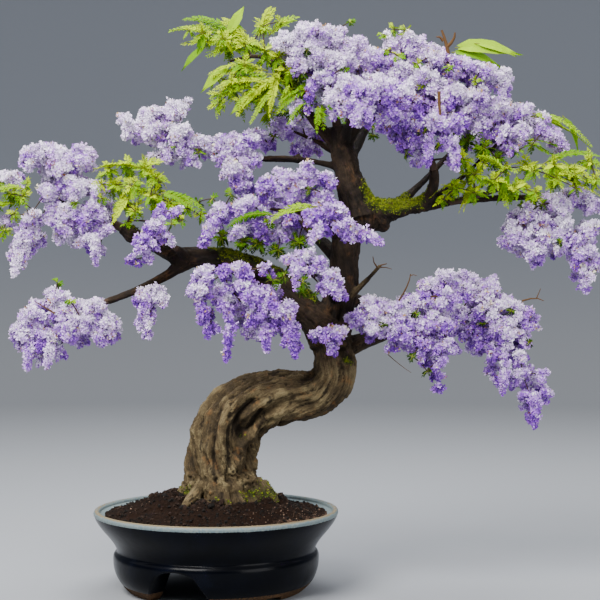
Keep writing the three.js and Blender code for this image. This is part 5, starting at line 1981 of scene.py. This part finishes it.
        greens = tinted("leaf", Green, GREEN_COLOURS, 0.75, 0.0, 0.08)
        piece = Scatter("leaflets", blades, greens).build(Spray.joined(leaves))
        keep(piece, [n for n, m in MASSES.items() if m.leafy])
        twig = PlainFinish("twig_bark", Colour(66, 50, 38), 0.85).material()
        keep(self.wood.build("twigs", twig, 5), [])
        dead = PlainFinish("dead_wood", Colour(88, 62, 34), 0.9).material()
        keep(self.dead.build("dead_twigs", dead, 6), [])
        stalk = PlainFinish("leaf_stalk", Colour(120, 130, 20), 0.6).material()
        keep(self.stalks.build("leaf_stalks", stalk, 4), [])


# --- The studio ---


@dataclass(frozen=True)
class SoftLight:
    """A square light, its place in millimetres, its size, power in watts and its colour."""

    name: str
    place: Triple
    target: Triple
    size: float
    power: float
    colour: Triple = (1.0, 1.0, 1.0)

    def build(self) -> None:
        """Makes the light."""
        data = bpy.data.lights.new(self.name, "AREA")
        data.size, data.energy, data.color = self.size * MM, self.power, self.colour
        light = bpy.data.objects.new(self.name, data)
        light.location = SITE.place(*self.place)
        aim = SITE.place(*self.target) - light.location
        light.rotation_euler = aim.to_track_quat("-Z", "Y").to_euler()
        bpy.context.scene.collection.objects.link(light)


@dataclass
class Studio:
    """A pale floor that sweeps up all round, the lights and the camera."""

    eye: Triple = (96.0, -1610.0, 331.0)
    lens: float = 84.0
    sensor: float = 36.0
    floor_radius: float = 2900.0
    wall_radius: float = 5200.0
    wall_height: float = 2600.0
    sky: Triple = (0.66, 0.67, 0.69)
    sky_strength: float = 1.05
    lights: tuple[SoftLight, ...] = (
        SoftLight("key", (-800, -1300, 1900), (90, 0, 360), 1200, 112.0, (1.0, 0.985, 0.96)),
        SoftLight("top", (300, 500, 2100), (90, 0, 420), 1400, 52.0, (0.98, 0.99, 1.0)),
        SoftLight("fill", (1700, -1500, 800), (90, 0, 330), 1400, 26.0),
    )

    def sweep(self) -> Thing:
        """Makes the floor, which curves up to a low round wall far behind on every side."""
        rise = np.linspace(0, 1, 24)
        radius = chain([np.linspace(0, self.floor_radius, 8)[1:],
            self.floor_radius + (self.wall_radius - self.floor_radius) * rise[1:]])
        height = chain([np.zeros(7), self.wall_height * (1 - np.sqrt(1 - rise[1:] ** 2))])
        sides = 96
        angle = np.linspace(0, 2 * math.pi, sides + 1)[:-1]
        ring = np.stack([np.cos(angle), np.sin(angle)], 1)
        places = chain([chain([ring * r, np.full((sides, 1), h)], 1) for r, h in zip(radius, height)])
        places = chain([places, [[0, 0, 0]]]) + [0, 0, -0.2]
        floor = mesh_object("studio_floor", places, bowl_faces(len(radius), sides, len(places) - 1))
        floor.data.materials.append(StudioFinish().material())
        return smooth_shaded(floor)

    def build(self) -> None:
        """Makes the studio."""
        self.sweep()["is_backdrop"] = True
        for light in self.lights:
            light.build()
        world = bpy.data.worlds.new("studio_air")
        world.use_nodes = True
        air = world.node_tree.nodes["Background"].inputs
        air["Color"].default_value, air["Strength"].default_value = (*self.sky, 1.0), self.sky_strength
        bpy.context.scene.world = world
        data = bpy.data.cameras.new("camera")
        data.lens, data.sensor_width, data.clip_end = self.lens, self.sensor, 60.0
        camera = bpy.data.objects.new("camera", data)
        camera.location = SITE.place(*self.eye)
        camera.rotation_euler = Euler((math.pi / 2, 0, 0))
        bpy.context.scene.collection.objects.link(camera)
        bpy.context.scene.camera = camera


def write_sizes() -> None:
    """Gathers the solids' box and the box of what shows, and keeps neither."""
    boxes = {"cad": CAD_BOX, "visual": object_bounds()}
    {name: [list(corner) for corner in box] for name, box in boxes.items()}


def main() -> None:
    """Builds the studio and the bonsai, piece by piece."""
    logging.basicConfig(level=logging.INFO, format="%(name)s: %(message)s")
    Studio().build()
    pot = Pot()
    keep(pot.build(), ["pot"])
    mound, crumbs = Soil(pot).build()
    keep(mound, ["soil"])
    keep(crumbs, [])
    wood = Wood()
    limbs = wood.limbs()
    bark, moss = wood.build(limbs)
    keep(bark, ["trunk"] + [f"bough_{name}" for name in BOUGHS])
    keep(moss, [])
    Crown(limbs).build()
    write_sizes()


if __name__ == "__main__":
    main()
